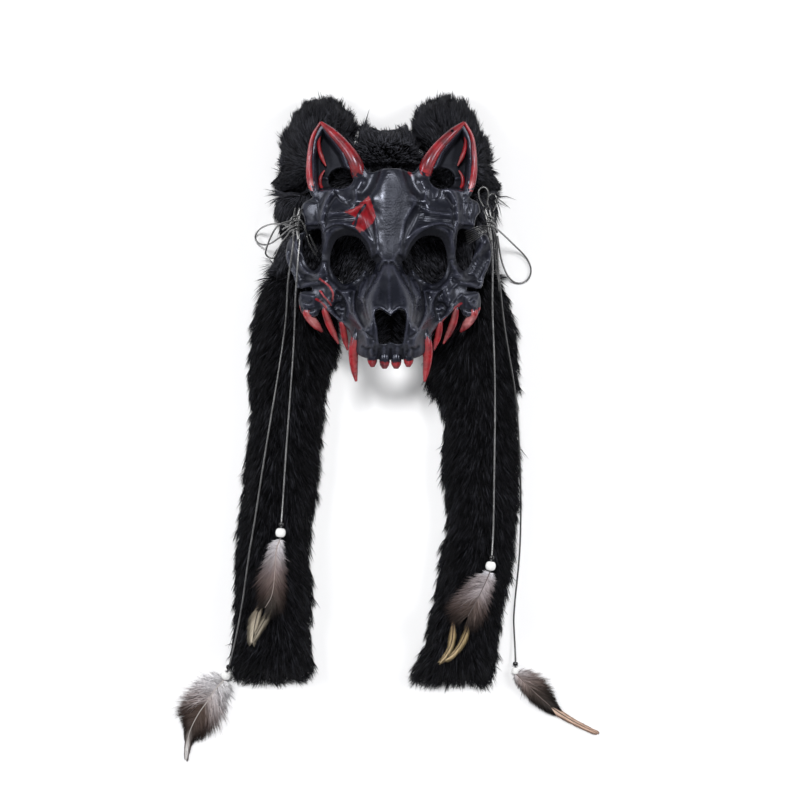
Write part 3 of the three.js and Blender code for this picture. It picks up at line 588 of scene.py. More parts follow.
# Every stroke of the carving: kind, side (0 both, -1 left, 1 right), reach, height, route or outline. A facet
# has a slope for its height, waves have their height first and then their period, and both end in a direction.
strokes = [
    # big forms
    ("ridge", 0, 5, 3.8, [[21, 51], [30, 45], [42, 40], [57, 38]]),
    ("ridge", 0, 4.5, 2.6, [[16, 2], [20, 12], [30, 22], [41, 27], [54, 25], [59, 18]]),
    ("ridge", 0, 4.2, 1.8, [[59, 22], [60, 38], [57, 49], [51, 60]]),
    ("ridge", 0, 5, 0.8, [[56, 14], [57, -4], [60, -15]]),
    ("ridge", 0, 4.5, 3.4, [[62, -17], [72, -9], [80, 2], [87, 14]]),
    ("ridge", 0, 4, 2, [[62, -18], [73, -25], [82, -28]]),
    ("ridge", 0, 5, 4, [[37.5, -29], [35.5, -42], [34.5, -52], [26, -66]]),
    ("ridge", 0, 4.5, 3, [[50, -27], [54, -38], [52, -48]]),
    ("ridge", 0, 4.6, -3.4, [[44, -42], [46, -48]]),
    ("ridge", 0, 4.2, -3.8, [[28.8, -28], [28, -45], [23, -58]]),
    ("ridge", 0, 5, 1.6, [[0, -10], [0, -18]]),
    ("ridge", 0, 4, 2, [[14, -49], [16, -60], [13, -78]]),
    ("ridge", 0, 4.5, 2.2, [[24, -68], [20, -78], [17, -88]]),
    ("ridge", 0, 6, 1.2, [[70, -38], [76, -46]]),
    # forehead: the shield, the valleys beside its top and its crisp lower edges
    ("plate", 0, 2.6, 1.9, browShield),
    ("ridge", 0, 13, 1.8, [[1, 90], [3, 12]]),
    ("ridge", 0, 6, -2.8, [[13, 82], [18, 67], [25, 56]]),
    ("ridge", 0, 4.5, -2.8, [[27, 44], [23, 34], [18.5, 21], [14, 9]]),
    ("roof", 1, 2.0, 1.8, [[19, 56], [22.6, 49.6], [18, 40], [13.5, 31], [11.5, 18], [10, 5]]),
    ("roof", -1, 2.0, 1.1, [[22, 50], [18, 40], [13.5, 31], [11.5, 18], [10, 5]]),
    ("ridge", 0, 3.4, 1.4, [[27, 66], [30, 58], [30, 50]]),
    # brow plate, sharp above the eye's hollow
    ("cliff", 0, 9, 3.4, [[14.9, -3.3], [17.9, 9.2], [23.8, 17.3], [32.8, 23.9], [42, 27.6], [51.7, 27.1],
                          [57.8, 23.1], [60, 19]]),
    ("cliff", -1, 8, 1.7, [[57, 39], [47, 39.8], [38, 39.6], [30, 43.5], [22, 47]]),
    ("cliff", 1, 8, 1.3, [[57, 38], [48, 38.4], [38, 40], [28, 44], [19, 49]]),
    ("crease", 0, 1.7, -1.9, [[57, 22], [57.4, 36], [54.6, 46], [48, 56]]),
    ("roof", 0, 1.9, 1.7, [[59.6, 20], [61, 35], [58.8, 47.7], [51.2, 61.6]]),
    ("roof", 0, 1.8, 1.0, [[64, 27], [64.6, 48], [70, 53]]),
    ("plate", 0, 1.2, 1.2, [[79, 48.8], [65.6, 48], [64.8, 28.4], [78, 28.4]]),
    ("crease", 0, 1.3, -1.2, [[64, 26.6], [72, 27.4], [78, 27]]),
    ("waves", 1, 0.2, 2.5, [[22, 44], [53, 40], [57, 28], [40, 29], [26, 24]], 88),
    ("waves", -1, 0.2, 2.6, [[30, 42], [56, 38], [54, 29], [33, 26]], 86),
    ("waves", 1, 0.4, 3.4, [[54, 56], [72, 52], [76, 30], [62, 24], [55, 30]], 8),
    ("waves", -1, 0.4, 3.2, [[54, 56], [64, 52], [63, 28], [56, 30]], 12),
    # light facets below the ears
    ("facet", -1, 1.3, 0.1, [[33, 63.5], [51, 63], [51, 56], [41, 48.6], [33, 49]], 90),
    ("facet", 1, 1.3, 0.1, [[35.6, 63.5], [51, 62.5], [50.6, 56], [47, 51.6], [36.5, 50]], 90),
    ("crease", 1, 1.0, -1.4, [[43.6, 62], [43.6, 54], [40, 49]]),
    ("crease", -1, 1.1, -1.1, [[52.6, 60], [46, 50], [36, 44.4]]),
    ("roof", 0, 1.5, 1.0, [[32, 62], [31.4, 50], [36, 46]]),
    ("roof", 1, 1.5, 1.2, [[53, 62], [58, 55], [61, 47]]),
    ("roof", 1, 1.4, 1.0, [[66, 56], [68.6, 46], [67, 36]]),
    ("roof", 1, 1.4, 1.2, [[71.4, 52], [73.4, 44], [71, 34]]),
    # rim of the eyes
    ("ridge", 0, 1.3, 0.7, [[53.4, 9], [47, 19.6], [35, 21.2], [25, 17.6], [16.4, 6]]),
    ("crease", 0, 1.5, -1.3, [[16, -21], [27, -23], [39, -29], [50.4, -22], [55.6, -8]]),
    ("roof", -1, 2.0, 2.6, [[58, -4], [60.6, -11], [63.4, -18.4]]),
    ("roof", -1, 1.8, 2.0, [[58, -4], [56.4, -10], [54.4, -17]]),
    ("roof", 1, 2.0, 2.4, [[56.4, -2], [58.4, -12]]),
    ("roof", 1, 1.6, 1.8, [[60, -7], [61.6, -15], [66.6, -19]]),
    # cheek wings
    ("plate", 0, 3.4, -2.4, [[88, 5], [89, -6], [80, -25], [68, -20], [70, -9], [79, 2]]),
    ("roof", -1, 2.0, 2.2, [[84, 6], [81, -4], [76.5, -11.7], [64, -19]]),
    ("roof", 1, 1.8, 3.0, [[85, 12], [76, -1], [67.3, -12.8]]),
    ("roof", 1, 1.6, 1.8, [[90, -3], [86, -12], [80.5, -22]]),
    ("roof", 0, 1.6, 1.3, [[92, 8], [91.2, -5], [81.4, -27]]),
    ("facet", 0, 1.5, 0.3, [[61, -15], [78, -15], [80, -27], [62, -26]], 60),
    ("crease", 0, 1.3, -1.5, [[62, -21.6], [71, -22], [80, -18.6]]),
    ("waves", 1, 0.35, 3.2, [[70, -3], [86, 8], [88, -8], [80, -20], [70, -14]], 40),
    # scratches of the left cheek
    ("roof", -1, 1.5, 1.5, [[62.1, -20.3], [54.8, -25.7], [50.5, -33.4], [51.6, -40]]),
    ("roof", -1, 1.3, 1.3, [[62.4, -30.8], [59.1, -35.1], [55.2, -40], [52.7, -43.6]]),
    ("roof", 1, 1.4, 1.0, [[62, -24], [55.4, -30], [52, -38], [54, -43]]),
    ("roof", 1, 1.2, 0.9, [[66, -33], [60, -39], [57, -45]]),
    # strut below the eye and its grooves
    ("plate", 0, 0.85, 1.9, [[29.6, -31], [47, -30.2], [42.8, -35.6], [39.6, -41.8], [39.3, -49], [40.4, -54],
                            [35, -60], [28, -67.6], [24.7, -66.9], [31.8, -52.2], [31.9, -40]]),
    ("crease", 0, 1.5, -2.2, [[49, -29.7], [42.2, -36.9], [39.4, -45.9], [40.4, -54], [33.9, -59.6], [25, -68]]),
    ("crease", 0, 1.5, -2.6, [[28.6, -30.2], [29.8, -45.4], [26.4, -58], [21.8, -66.9]]),
    ("roof", 0, 1.1, 1.0, [[31.4, -31], [32.4, -42], [30.4, -53], [24.4, -66]]),
    ("plate", 0, 0.8, 1.3, [[50, -28.6], [41.6, -37.6], [44, -40.4], [51, -41]]),
    ("waves", 0, 0.4, 2.3, [[50, -28], [41, -38], [51, -41]], 25),
    ("crease", 0, 1.8, -3.0, [[51, -47.6], [48.2, -43], [43.6, -42], [41.2, -45.4]]),
    ("ridge", 0, 2.0, 1.6, [[45.6, -46.4], [44.4, -47.6]]),
    ("ridge", 0, 2.4, 2.2, [[60, -42], [51, -53], [40.4, -61], [35.5, -70]]),
    ("crease", 0, 1.2, -1.2, [[56, -40], [48.6, -50], [42, -56]]),
    # bands beside the muzzle
    ("facet", 0, 1.2, -1.1, [[13.5, -14], [20.6, -11.6], [28.4, -27], [30, -38], [24, -44], [18.6, -33]], 0),
    ("facet", 0, 1.2, -0.6, [[31, -31], [47, -30], [41.6, -38], [39, -47], [33.4, -53], [31, -42]], 0),
    ("scuffed", 0, 0.9, 2.2, [[11.8, -16.6], [17.9, -17], [25, -31], [27.3, -37.6], [23.6, -38]]),
    ("waves", 0, 0.3, 2.1, [[11.8, -16.6], [17.9, -17], [27.3, -37.6], [23.6, -38]], 30),
    ("crease", 0, 1.6, -3.4, [[19.4, -14.4], [27, -26.8], [29.1, -37]]),
    ("crease", 0, 1.3, -1.7, [[10.4, -17], [16.4, -27], [22.4, -39]]),
    ("crease", 0, 1.1, -0.9, [[22, -39], [21.6, -50], [17.6, -62]]),
    ("crease", 0, 1.0, -0.7, [[18, -42], [18.4, -50], [16, -60], [15.6, -72]]),
    ("crease", 0, 1.0, -0.7, [[25, -50], [23, -58], [18.6, -66]]),
    # muzzle: flat top, arc at its root and the rim of the nose
    ("roof", 0, 2.4, 0.5, [[7.6, -16], [9, -26], [10.6, -38], [12, -46]]),
    ("crease", 0, 1.4, -2.8, [[9.4, -15], [7.4, -10.6], [4.8, -7.4], [0, -6.2]]),
    ("ridge", 0, 4.4, 2.4, [[0, -12.5], [0, -15.5]]),
    ("ridge", 0, 2.4, 0.9, [[0, -14], [0, -48]]),
    ("ridge", 0, 1.1, 0.7, [[0, -53], [4.6, -49], [8.5, -46.6], [13.2, -48], [15.4, -53.6], [13.6, -65.7],
                            [11.6, -79]]),
    # front of the jaw
    ("roof", 0, 2.2, 1.9, [[24.4, -67], [21, -76], [19, -83]]),
    ("roof", 0, 1.8, 1.4, [[14.6, -76], [16.6, -83], [15.6, -90]]),
    ("crease", 0, 1.4, -2.0, [[26, -80], [21, -83.6], [17, -83], [13.6, -87.6]]),
    ("crease", 0, 1.3, -1.5, [[25.4, -66], [20, -71.5], [15.4, -74]]),
    ("waves", 0, 0.55, 5.2, [[1, -80], [24, -80], [24, -92], [1, -92]], 0),
    ("ridge", 0, 2.2, 1.6, [[5.2, -84], [5.2, -92]]),
    ("ridge", 0, 2.2, 1.6, [[16.2, -84], [16.2, -91]]),
    ("crease", 0, 1.2, -1.8, [[0, -82], [0, -93]]),
    ("crease", 0, 1.2, -1.6, [[10.6, -82], [10.6, -93]]),
    # back of the jaw
    ("plate", 0, 1.0, 1.3, [[81, -32.4], [67, -34.7], [68, -54], [77.5, -52.6]]),
    ("ridge", 1, 1.2, 1.3, [[72.4, -41], [75, -38.6], [77.6, -41], [75, -43.8], [72.4, -41]]),
    ("crease", 0, 1.3, -1.6, [[80, -46], [72, -48], [66, -46]]),
    ("crease", -1, 1.1, -1.2, [[80, -38.6], [73, -41.6], [68, -40]]),
    # ears: thin folds beside the outer rim and rays of the bowl
    ("waves", 0, 0.9, 2.4, [[66, 84], [71.5, 84], [71, 60], [64, 58]], 4),
    ("ridge", 0, 2.0, 2.0, [[55.6, 70.6], [61, 72], [66, 71]]),
]
wrinkles = {"from": 6, "to": 85, "period": 2.7, "middle": -2.4, "halfWidth": 3.4, "height": 0.15}
uneven = [(15.0, 0.6, 3), (4.6, 0.07, 11)]

earRims = {
    "innerRim": ([[25.5, 62, 62], [29.6, 75, 70], [33, 85, 71.4], [41, 97.6, 69], [53, 110.6, 65.5], [64.5, 121, 60.5]],
                 [5.6, 6.9, 6.2, 5.2, 4.4, 3.5, 1.4]),
    "outerRim": ([[64.5, 121, 60.5], [71.4, 109, 57], [74.2, 92, 56], [74, 75, 58], [71.4, 62, 61], [69.2, 55.4, 62]],
                 [1.3, 1.7, 2.1, 2.4, 3.0, 3.3, 2.4]),
    "foldTop": ([[63, 114, 55], [66, 106, 53.4], [65.4, 97, 52.6], [62.6, 89, 52.4], [59.4, 82.5, 52]],
                [0.6, 1.3, 1.9, 2.1, 0.7]),
    "foldFoot": ([[60.6, 78.4, 52], [63.8, 73, 53], [64.2, 66, 54.6], [61.6, 60.4, 57.4]], [0.6, 1.5, 1.7, 1.2]),
}
teeth = {
    "fang": ([[29.6, -62, 92], [30.8, -70, 94.4], [33, -84, 93.6], [32.5, -98, 91.4], [30.5, -112, 88]],
             [2.6, 3.9, 4.4, 4.4, 3.9, 2.9, 1.1]),
    "frontTooth": ([[5.2, -84, 101.6], [5.2, -92, 102.6], [5.1, -100.5, 100.4]], [2.6, 3.9, 4.5, 4.7, 4.6, 4.0, 2.2]),
    "cornerTooth": ([[16.2, -82, 99.6], [16.2, -90, 100.8], [15.8, -99, 98.4]], [2.6, 3.8, 4.3, 4.5, 4.4, 3.7, 2.0]),
    "sideToothA": ([[43, -52, 71.5], [43.6, -58, 72.6], [42.5, -69, 71.6], [38.7, -84, 68]],
                   [2.2, 2.9, 3.1, 2.6, 0.8]),
    "sideToothB": ([[58, -39, 66], [59, -46, 67.4], [56, -59, 65.8], [47.2, -78, 61]], [2.2, 3.0, 3.4, 2.9, 0.8]),
    "sideToothC": ([[75, -44, 58.4], [74.6, -50, 59.4], [70.4, -57.6, 56], [62.4, -67, 51.6]],
                   [3.4, 4.6, 4.4, 3.6, 1.1]),
}
pinHoles = {"radius": 1.1, "at": {1: (54.81, 112.95), -1: (-48.4, 113.1)}}
redPatch = [
    [19.6, 53.6], [15, 42.8], [12.6, 35.4], [15.1, 29.3], [20.5, 24.4], [26.2, 20.6], [30.5, 25.5], [33.6, 29],
    [31, 34], [33.5, 36], [42, 39.3], [31.5, 42.8], [26, 47.9],
]
redCrack = [[22.5, 45.5], [27, 39.4], [29.5, 34], [31, 27]]
redStrokes = [  # side, half width, route
    (-1, 0.9, [[62.1, -20.3], [54.8, -25.7], [50.5, -33.4], [51.6, -40]]),
    (-1, 0.8, [[62.4, -30.8], [59.1, -35.1], [55.2, -40], [52.7, -43.6]]),
    (-1, 0.9, [[66, -38], [61, -41.4], [57, -46.4]]),
    (-1, 1.0, [[82, -44], [79, -52.6], [72, -53]]),
    (1, 1.4, [[15.6, 75], [17.6, 73]]),
    (1, 1.1, [[64, -42], [58, -46.6]]),
    (1, 1.0, [[81, -46], [77, -50]]),
    (1, 0.9, [[50, -55], [43, -61]]),
]


eyeLine, templeLine = (smoothRoute(hole, 4, True) for hole in (eyeHole, templeHole))


def centreAt(y):
    ys, xs = zip(*centreRows)
    return np.interp(y, ys, xs)


def muzzleAt(y, column):
    # Reads the muzzle's table with its corners rounded off.
    rows = np.array(muzzleRows, float)
    offsets = np.linspace(-9, 9, 7)
    return sum(np.interp(y + offset, rows[:, 0], rows[:, column]) for offset in offsets) / len(offsets)


falls = {"ridge": 2, "roof": 1.3, "crease": 1.5}  # how round or sharp a line's section is


def strokeHeight(stroke, u, y):
    kind, _, reach, height, points = stroke[:5]
    if kind not in falls and kind != "cliff":
        depth = depthInside(u, y, points)
        if kind in ("plate", "scuffed"):
            return height * smoothstep(depth, -reach, reach)
        turn = math.radians(stroke[5])
        if kind == "facet":
            middle = np.mean(points, axis=0)
            run = (u - middle[0]) * math.cos(turn) + (y - middle[1]) * math.sin(turn)
            return -height * run * smoothstep(depth, 0, 2 * reach)
        run = u * math.cos(turn) + y * math.sin(turn) + 0.6 * wander(u, y, 9, 5)
        fade = smoothstep(depth, -1, 2.5) * (0.6 + 0.4 * wander(u, y, 6, 2))
        return reach * np.sin(2 * math.pi * run / height) * fade
    far, side, along = toRoute(u, y, smoothRoute(points, 5))
    taper = smoothstep(np.minimum(along, 1 - along), -0.02, 0.14) if kind != "ridge" else 1
    if kind in falls:
        return height * taper * np.exp(-((far / reach) ** falls[kind]))
    signed = far * side
    return height * taper * smoothstep(signed, -0.7, 0.7) * np.exp(-((np.maximum(signed, 0) / reach) ** 2))


def faceHeight(x, y):
    # Height of the moulding's carved face over the table.
    offset = x - centreAt(y)
    u = np.abs(offset)
    height = mould["level"] + mould["dome"] * (1 - (u / mould["halfWidth"]) ** mould["roundness"])
    height -= mould["browFall"] * np.clip(y - 40, 0, 45) ** 2 + mould["chinFall"] * np.maximum(0, -y - 20) ** 2
    height += mould["muzzle"] * muzzleAt(y, 3) * (1 - smoothstep(u, muzzleAt(y, 1), muzzleAt(y, 2)))
    height -= mould["earSink"] * smoothstep(depthInside(u, y, earBowl), 0, 5)
    eyeSink = mould["eyeSink"] + mould["browSink"] * smoothstep(y, -8, 4)
    height -= eyeSink * (1 - smoothstep(-depthInside(u, y, eyeLine), 0, mould["eyeReach"]))
    height -= mould["templeSink"] * (1 - smoothstep(-depthInside(u, y, templeLine), 0, mould["templeReach"]))
    for stroke in strokes:
        room = 3.2 * (stroke[2] if stroke[0] in falls or stroke[0] == "cliff" else 1.2) + 1
        low, high = np.min(stroke[4], axis=0) - room, np.max(stroke[4], axis=0) + room
        near = (u > low[0]) & (u < high[0]) & (y > low[1]) & (y < high[1])
        if stroke[1]:
            near &= offset * stroke[1] > 0
        if near.any():
            height[near] += strokeHeight(stroke, u[near], y[near])
    fade = smoothstep(y, wrinkles["from"], wrinkles["from"] + 8) * (1 - smoothstep(y, 78, wrinkles["to"]))
    rows = np.sin(2 * math.pi * (y + 1.1 * wander(x, y, 5, 4)) / wrinkles["period"])
    rows *= 0.5 + 0.7 * wander(x, y, 7, 14)
    rows *= np.exp(-(((offset - wrinkles["middle"]) / wrinkles["halfWidth"]) ** 2))
    height += wrinkles["height"] * rows * fade
    for size, amount, seed in uneven:
        height += amount * wander(x, y, size, seed)
    return height


def toOpenings(x, y):
    # Distance from the nearest opening of the moulding, negative inside one.
    u = np.abs(x - centreAt(y))
    away = -depthInside(u, y, [[-9, -60], *noseHole, [-9, -77]])
    for line in (eyeLine, templeLine):
        away = np.minimum(away, -depthInside(u, y, line))
    fromHole = np.hypot((u - earHole["at"][0]) / earHole["across"], (y - earHole["at"][1]) / earHole["along"])
    return np.minimum(away, (fromHole - 1) * earHole["along"])


def rolledEdge(x, y):
    # How far the moulding's edge drops where it rolls over at its outline and round its openings.
    u = np.abs(x - centreAt(y))
    away = np.minimum(depthInside(u, y, halfOutline(maskEdge), True), toOpenings(x, y))
    share = np.clip(away / mould["roll"], 0, 1)
    return mould["roll"] * (1 - np.sqrt(1 - (1 - share) ** 2))


def halfOutline(points):
    # A half outline, rounded a little between its points and open on the centre line.
    inner = smoothRoute(points, 3)
    return np.vstack([[-30, points[0][1]], inner, [-30, points[-1][1]]])


def wholeOutline(points):
    line = smoothRoute(points, 3)
    right = np.column_stack([centreAt(line[:, 1]) + line[:, 0], line[:, 1]])
    left = np.column_stack([centreAt(line[:, 1]) - line[:, 0], line[:, 1]])[::-1]
    return np.vstack([right, left[1:-1]])


def gridPiece(name, left, bottom, right, top, step):
    columns, rows = round((right - left) / step), round((top - bottom) / step)
    deselectAll()
    bpy.ops.mesh.primitive_grid_add(x_subdivisions=columns, y_subdivisions=rows, size=1)
    piece = bpy.context.object
    piece.name = name
    places = readPlaces(piece)
    places[:, 0] = left + (places[:, 0] + 0.5) * (right - left)
    places[:, 1] = bottom + (places[:, 1] + 0.5) * (top - bottom)
    writePlaces(piece, places)
    return piece, places


def closeBelow(piece, floor):
    # Draws the grid's rim down to a flat floor and fills it.
    pick(piece)
    bpy.ops.object.mode_set(mode="EDIT")
    bpy.ops.mesh.select_mode(type="EDGE")
    bpy.ops.mesh.select_all(action="SELECT")
    bpy.ops.mesh.region_to_loop()
    bpy.ops.mesh.extrude_edges_move(TRANSFORM_OT_translate={"value": (0, 0, floor)})
    bpy.ops.mesh.edge_face_add()
    leaveEdit()


def prismPiece(name, outline, bottom, top):
    deselectAll()
    bpy.ops.mesh.primitive_circle_add(vertices=len(outline), radius=1, fill_type="NGON")
    piece = bpy.context.object
    piece.name = name
    writePlaces(piece, np.column_stack([outline, np.full(len(outline), bottom)]) * mm)
    editAll(piece, "FACE")
    bpy.ops.mesh.extrude_region_move(TRANSFORM_OT_translate={"value": (0, 0, (top - bottom) * mm)})
    bpy.ops.mesh.select_all(action="SELECT")
    bpy.ops.mesh.normals_make_consistent(inside=False)
    leaveEdit()
    return piece


def combine(piece, tool, operation):
    modifier = piece.modifiers.new("combine", "BOOLEAN")
    modifier.operation = operation
    modifier.solver = "MANIFOLD"
    modifier.object = tool
    applyModifiers(piece)
    bpy.data.objects.remove(tool)


def onSide(points, side):
    return [[float(centreAt(y)) + side * u, y, *rest] for u, y, *rest in points]


def mouldBlock(name, step, heightAt, floor):
    piece, places = gridPiece(name, mould["left"], mould["bottom"], mould["right"], mould["top"], step)
    heights = heightAt(places[:, 0], places[:, 1])
    count = len(places)
    places[:, 2] = 0
    writePlaces(piece, places * mm)
    closeBelow(piece, floor * mm)
    moved = readPlaces(piece)
    moved[:count, 2] = heights * mm
    writePlaces(piece, moved)
    editAll(piece)
    bpy.ops.mesh.normals_make_consistent(inside=False)
    leaveEdit()
    return piece


def backHeight(x, y):
    around = (-mould["backSmooth"], 0, mould["backSmooth"])
    lowest = np.min([faceHeight(x + dx, y + dy) for dx in around for dy in around], axis=0)
    return lowest - mould["wall"]


def carveMoulding():
    front = mouldBlock("skull_moulding", mould["grid"], lambda x, y: faceHeight(x, y) - rolledEdge(x, y), 5)
    back = mouldBlock("back", mould["backGrid"], backHeight, -5)
    combine(front, back, "DIFFERENCE")
    combine(front, prismPiece("outline", wholeOutline(maskEdge), 1, 150), "INTERSECT")
    holes = [wholeOutline(noseHole)]
    turns = np.linspace(0, 2 * math.pi, 28, endpoint=False)
    ring = [[earHole["at"][0] + earHole["across"] * math.cos(a), earHole["at"][1] + earHole["along"] * math.sin(a)]
            for a in turns]
    holes += [np.array(onSide(hole, side)) for side in (1, -1) for hole in (eyeLine, templeLine, ring)]
    for hole in holes:
        combine(front, prismPiece("hole", hole, 0, 160), "DIFFERENCE")
    return front


def paintMoulding(piece):
    # Red paint, abraded paint with painted highlights, and painted shade of the carved face, from where each point
    # lies.
    places = readPlaces(piece) / mm
    x, y, z = places.T
    offset = x - centreAt(y)
    u = np.abs(offset)
    paint = smoothstep(depthInside(u, y, redPatch), -1.6, 1.6) * (offset < 0)
    crack = toRoute(u, y, smoothRoute(redCrack, 5))[0]
    paint *= np.where(offset < 0, smoothstep(crack, 0.7, 1.7), 1)
    for side, width, route in redStrokes:
        far = toRoute(u, y, smoothRoute(route, 5))[0]
        paint = np.maximum(paint, smoothstep(-far, -width - 0.9, -width + 0.9) * (offset * side > 0))
    ragged = wander(x, y, 1.9, 8) + 0.6 * wander(x, y, 1.1, 3)
    paint = np.clip(paint + 0.3 * ragged * (paint > 0.02) * (paint < 0.98), 0, 1)
    smooth = faceHeight(x, y)
    around = [(2.2, 0), (-2.2, 0), (0, 2.2), (0, -2.2), (1.6, 1.6), (-1.6, -1.6), (1.6, -1.6), (-1.6, 1.6)]
    # a point below the mean of those round it lies in a hollow and gets painted shade; one above it is painted lighter,
    # partly as abrasion and partly as painted highlight
    hollow = np.mean([faceHeight(x + dx, y + dy) for dx, dy in around], axis=0) - smooth
    onTop = z > smooth - 2.4
    setAttribute(piece, "paint", paint * onTop)
    shield = smoothstep(depthInside(u, y, browShield), 0, 3) * smoothstep(offset, -8, -3)
    shield *= 1 - 0.7 * smoothstep(y, 60, 78)
    rough = np.exp(-((u ** 2 + (y + 13.5) ** 2) / 36))  # the root of the muzzle
    for stroke in strokes:
        if stroke[0] == "scuffed":
            rough = np.maximum(rough, smoothstep(depthInside(u, y, stroke[4]), 0, 1))
    folds = smoothstep(u, 65, 67) * smoothstep(y, 52, 58) * (1 - smoothstep(y, 84, 94))
    # raised points, the pebbled patches and the ear's folds are painted lighter: partly abrasion, partly painted
    # highlight
    rubbedAndLit = np.clip(-hollow / 0.7, 0, 1) + 0.4 * rough + 0.7 * folds
    setAttribute(piece, "rubbedAndLit", np.clip(rubbedAndLit, 0, 1) * onTop)
    bowl = smoothstep(depthInside(u, y, earBowl), 1, 5) * (1 - smoothstep(u, 63, 66))
    lid = (1 - smoothstep(-depthInside(u, y, eyeLine), 4, 8)) * smoothstep(y, -8, 0)
    setAttribute(piece, "shade", np.where(onTop, np.clip(hollow / 1.3 + bowl + lid, 0, 1), 0.6))
    front = smoothstep(-y, 66, 74) * 0.7
    setAttribute(piece, "grain", np.clip(0.04 + shield + 0.6 * rough + front, 0, 1))
    setAttribute(piece, "pinkish", 0.0)


def paintRod(rod, name, side):
    # Red paint of a tooth or a rim of the ears, with painted pink highlights along its top, some pale abraded paint and
    # painted shade underneath, from how far along and on which side of it each point lies.
    along, upper, across = (readValues(rod, key) for key in ("along", "upper", "across"))
    places = readPlaces(rod) / mm
    ragged = 0.09 * wander(places[:, 0], places[:, 1], 3, 6)
    crest = np.clip(upper + 0.35 * across * side, 0, 1)
    # pinkish: painted highlight along the crest, mottled with some pale abraded paint
    if name == "innerRim":
        paint = smoothstep(along + 0.6 * ragged, 0.14, 0.29)
        pinkish = np.clip(0.1 * crest ** 8 + 2 * ragged * crest, 0, 1) * (0.1 + 0.5 * (1 - smoothstep(along, 0.2, 0.5)))
    elif name == "outerRim":
        paint = 1 - smoothstep(along + ragged, 0.86, 0.97)
        line = np.exp(-(((across * side + 0.5) / 0.2) ** 2)) * (upper > 0)
        foot = 0.8 * smoothstep(along, 0.74, 0.9) * crest ** 2
        pinkish = np.clip(0.7 * line * (1 - smoothstep(along, 0.55, 0.75)) + foot, 0, 1)
    elif name.startswith("fold"):
        if name == "foldTop":
            paint, toTip = smoothstep(along + ragged, 0.12, 0.26), along
        else:
            paint, toTip = 1 - smoothstep(along + ragged, 0.8, 0.95), 1 - along
        pinkish = np.clip(crest ** 6, 0, 1) * 0.5 * smoothstep(toTip, 0.5, 0.9)
    elif name == "fang":
        paint = smoothstep(along + ragged, 0.22, 0.3)
        pinkish = crest ** 8 * 0.2
    elif name in ("frontTooth", "cornerTooth"):
        paint = smoothstep(along + 0.6 * ragged, 0.5, 0.72) * 0.85
        pinkish = crest ** 6 * 0.05
    elif name == "sideToothC":
        paint = smoothstep(along + ragged, 0.1, 0.2)
        pinkish = np.clip(1.1 * np.exp(-(((along - 0.5) / 0.24) ** 2)) * crest + 4 * ragged, 0, 1)
    else:
        paint = smoothstep(along + ragged, 0.14, 0.24)
        pinkish = crest ** 8 * (0.3 if name == "sideToothB" else 0.1)
    # each rod's top is painted lighter and its underside darker: painted highlight and painted shade
    for key, values in {"paint": paint, "pinkish": pinkish, "rubbedAndLit": 0.4 * crest ** 4,
                        "shade": np.clip(0.25 - upper, 0, 1), "grain": 0.0}.items():
        setAttribute(rod, key, values)
    for key in ("along", "upper", "across"):
        rod.data.attributes.remove(rod.data.attributes[key])


def mouldMaterial():
    material, tree, shader = newMaterial("moulded skull", Specular_IOR_Level=0.5, Specular_Tint=(*mould["gloss"], 1))
    paint, rubbedAndLit, shade, grain, pinkish = (
        readAttribute(tree, name) for name in ("paint", "rubbedAndLit", "shade", "grain", "pinkish"))
    slate = rampOf(tree, noiseAt(tree, 70, 3), [(0.35, mould["slate"]), (0.7, mould["slateHigh"])])
    # raised and pebbled places are mixed towards pale slate: partly abrasion, partly painted highlight
    scuffAndGlint = calculate(tree, "MULTIPLY", rubbedAndLit, noiseAt(tree, 420, 3))
    slate = mixColours(tree, calculate(tree, "MULTIPLY", scuffAndGlint, 1.2), slate, (*mould["slateLight"], 1))
    redTone = rampOf(tree, noiseAt(tree, 110, 3), [(0.3, mould["redDeep"]), (0.62, mould["red"])])
    # the pink of painted highlight along the rods' tops, with a little abrasion, lightens the red
    sheenAmount = calculate(tree, "ADD", pinkish, calculate(tree, "MULTIPLY", rubbedAndLit, 0.25))
    sheenAmount = calculate(tree, "MULTIPLY", sheenAmount, calculate(tree, "ADD", noiseAt(tree, 330, 3), 0.35))
    redTone = mixColours(tree, sheenAmount, redTone, (*mould["pink"], 1))
    flecks = calculate(tree, "SUBTRACT", noiseAt(tree, 700, 4), 0.5)
    covered = spread(tree, calculate(tree, "MULTIPLY_ADD", flecks, 0.9, paint), 0.38, 0.62)
    colour = mixColours(tree, covered, slate, redTone)
    colour = mixColours(tree, calculate(tree, "MULTIPLY", shade, 0.85), colour, (*mould["shade"], 1))
    tree.links.new(colour, shader.inputs["Base Color"])
    dull = calculate(tree, "MULTIPLY_ADD", noiseAt(tree, 160, 2), 0.16, 0.2)
    dull = calculate(tree, "MULTIPLY_ADD", shade, 0.4, dull)
    dull = calculate(tree, "MULTIPLY_ADD", grain, 0.22, dull)
    tree.links.new(dull, shader.inputs["Roughness"])
    cells = noiseAt(tree, 560, 0, (1, 1, 0.5), "ShaderNodeTexVoronoi", "Distance")
    height = calculate(tree, "MULTIPLY", noiseAt(tree, 300, 2), 0.035)
    height = calculate(tree, "MULTIPLY_ADD", calculate(tree, "MULTIPLY", cells, grain), 0.18, height)
    roughen(tree, shader, height, 0.0012, 1.0)
    return material


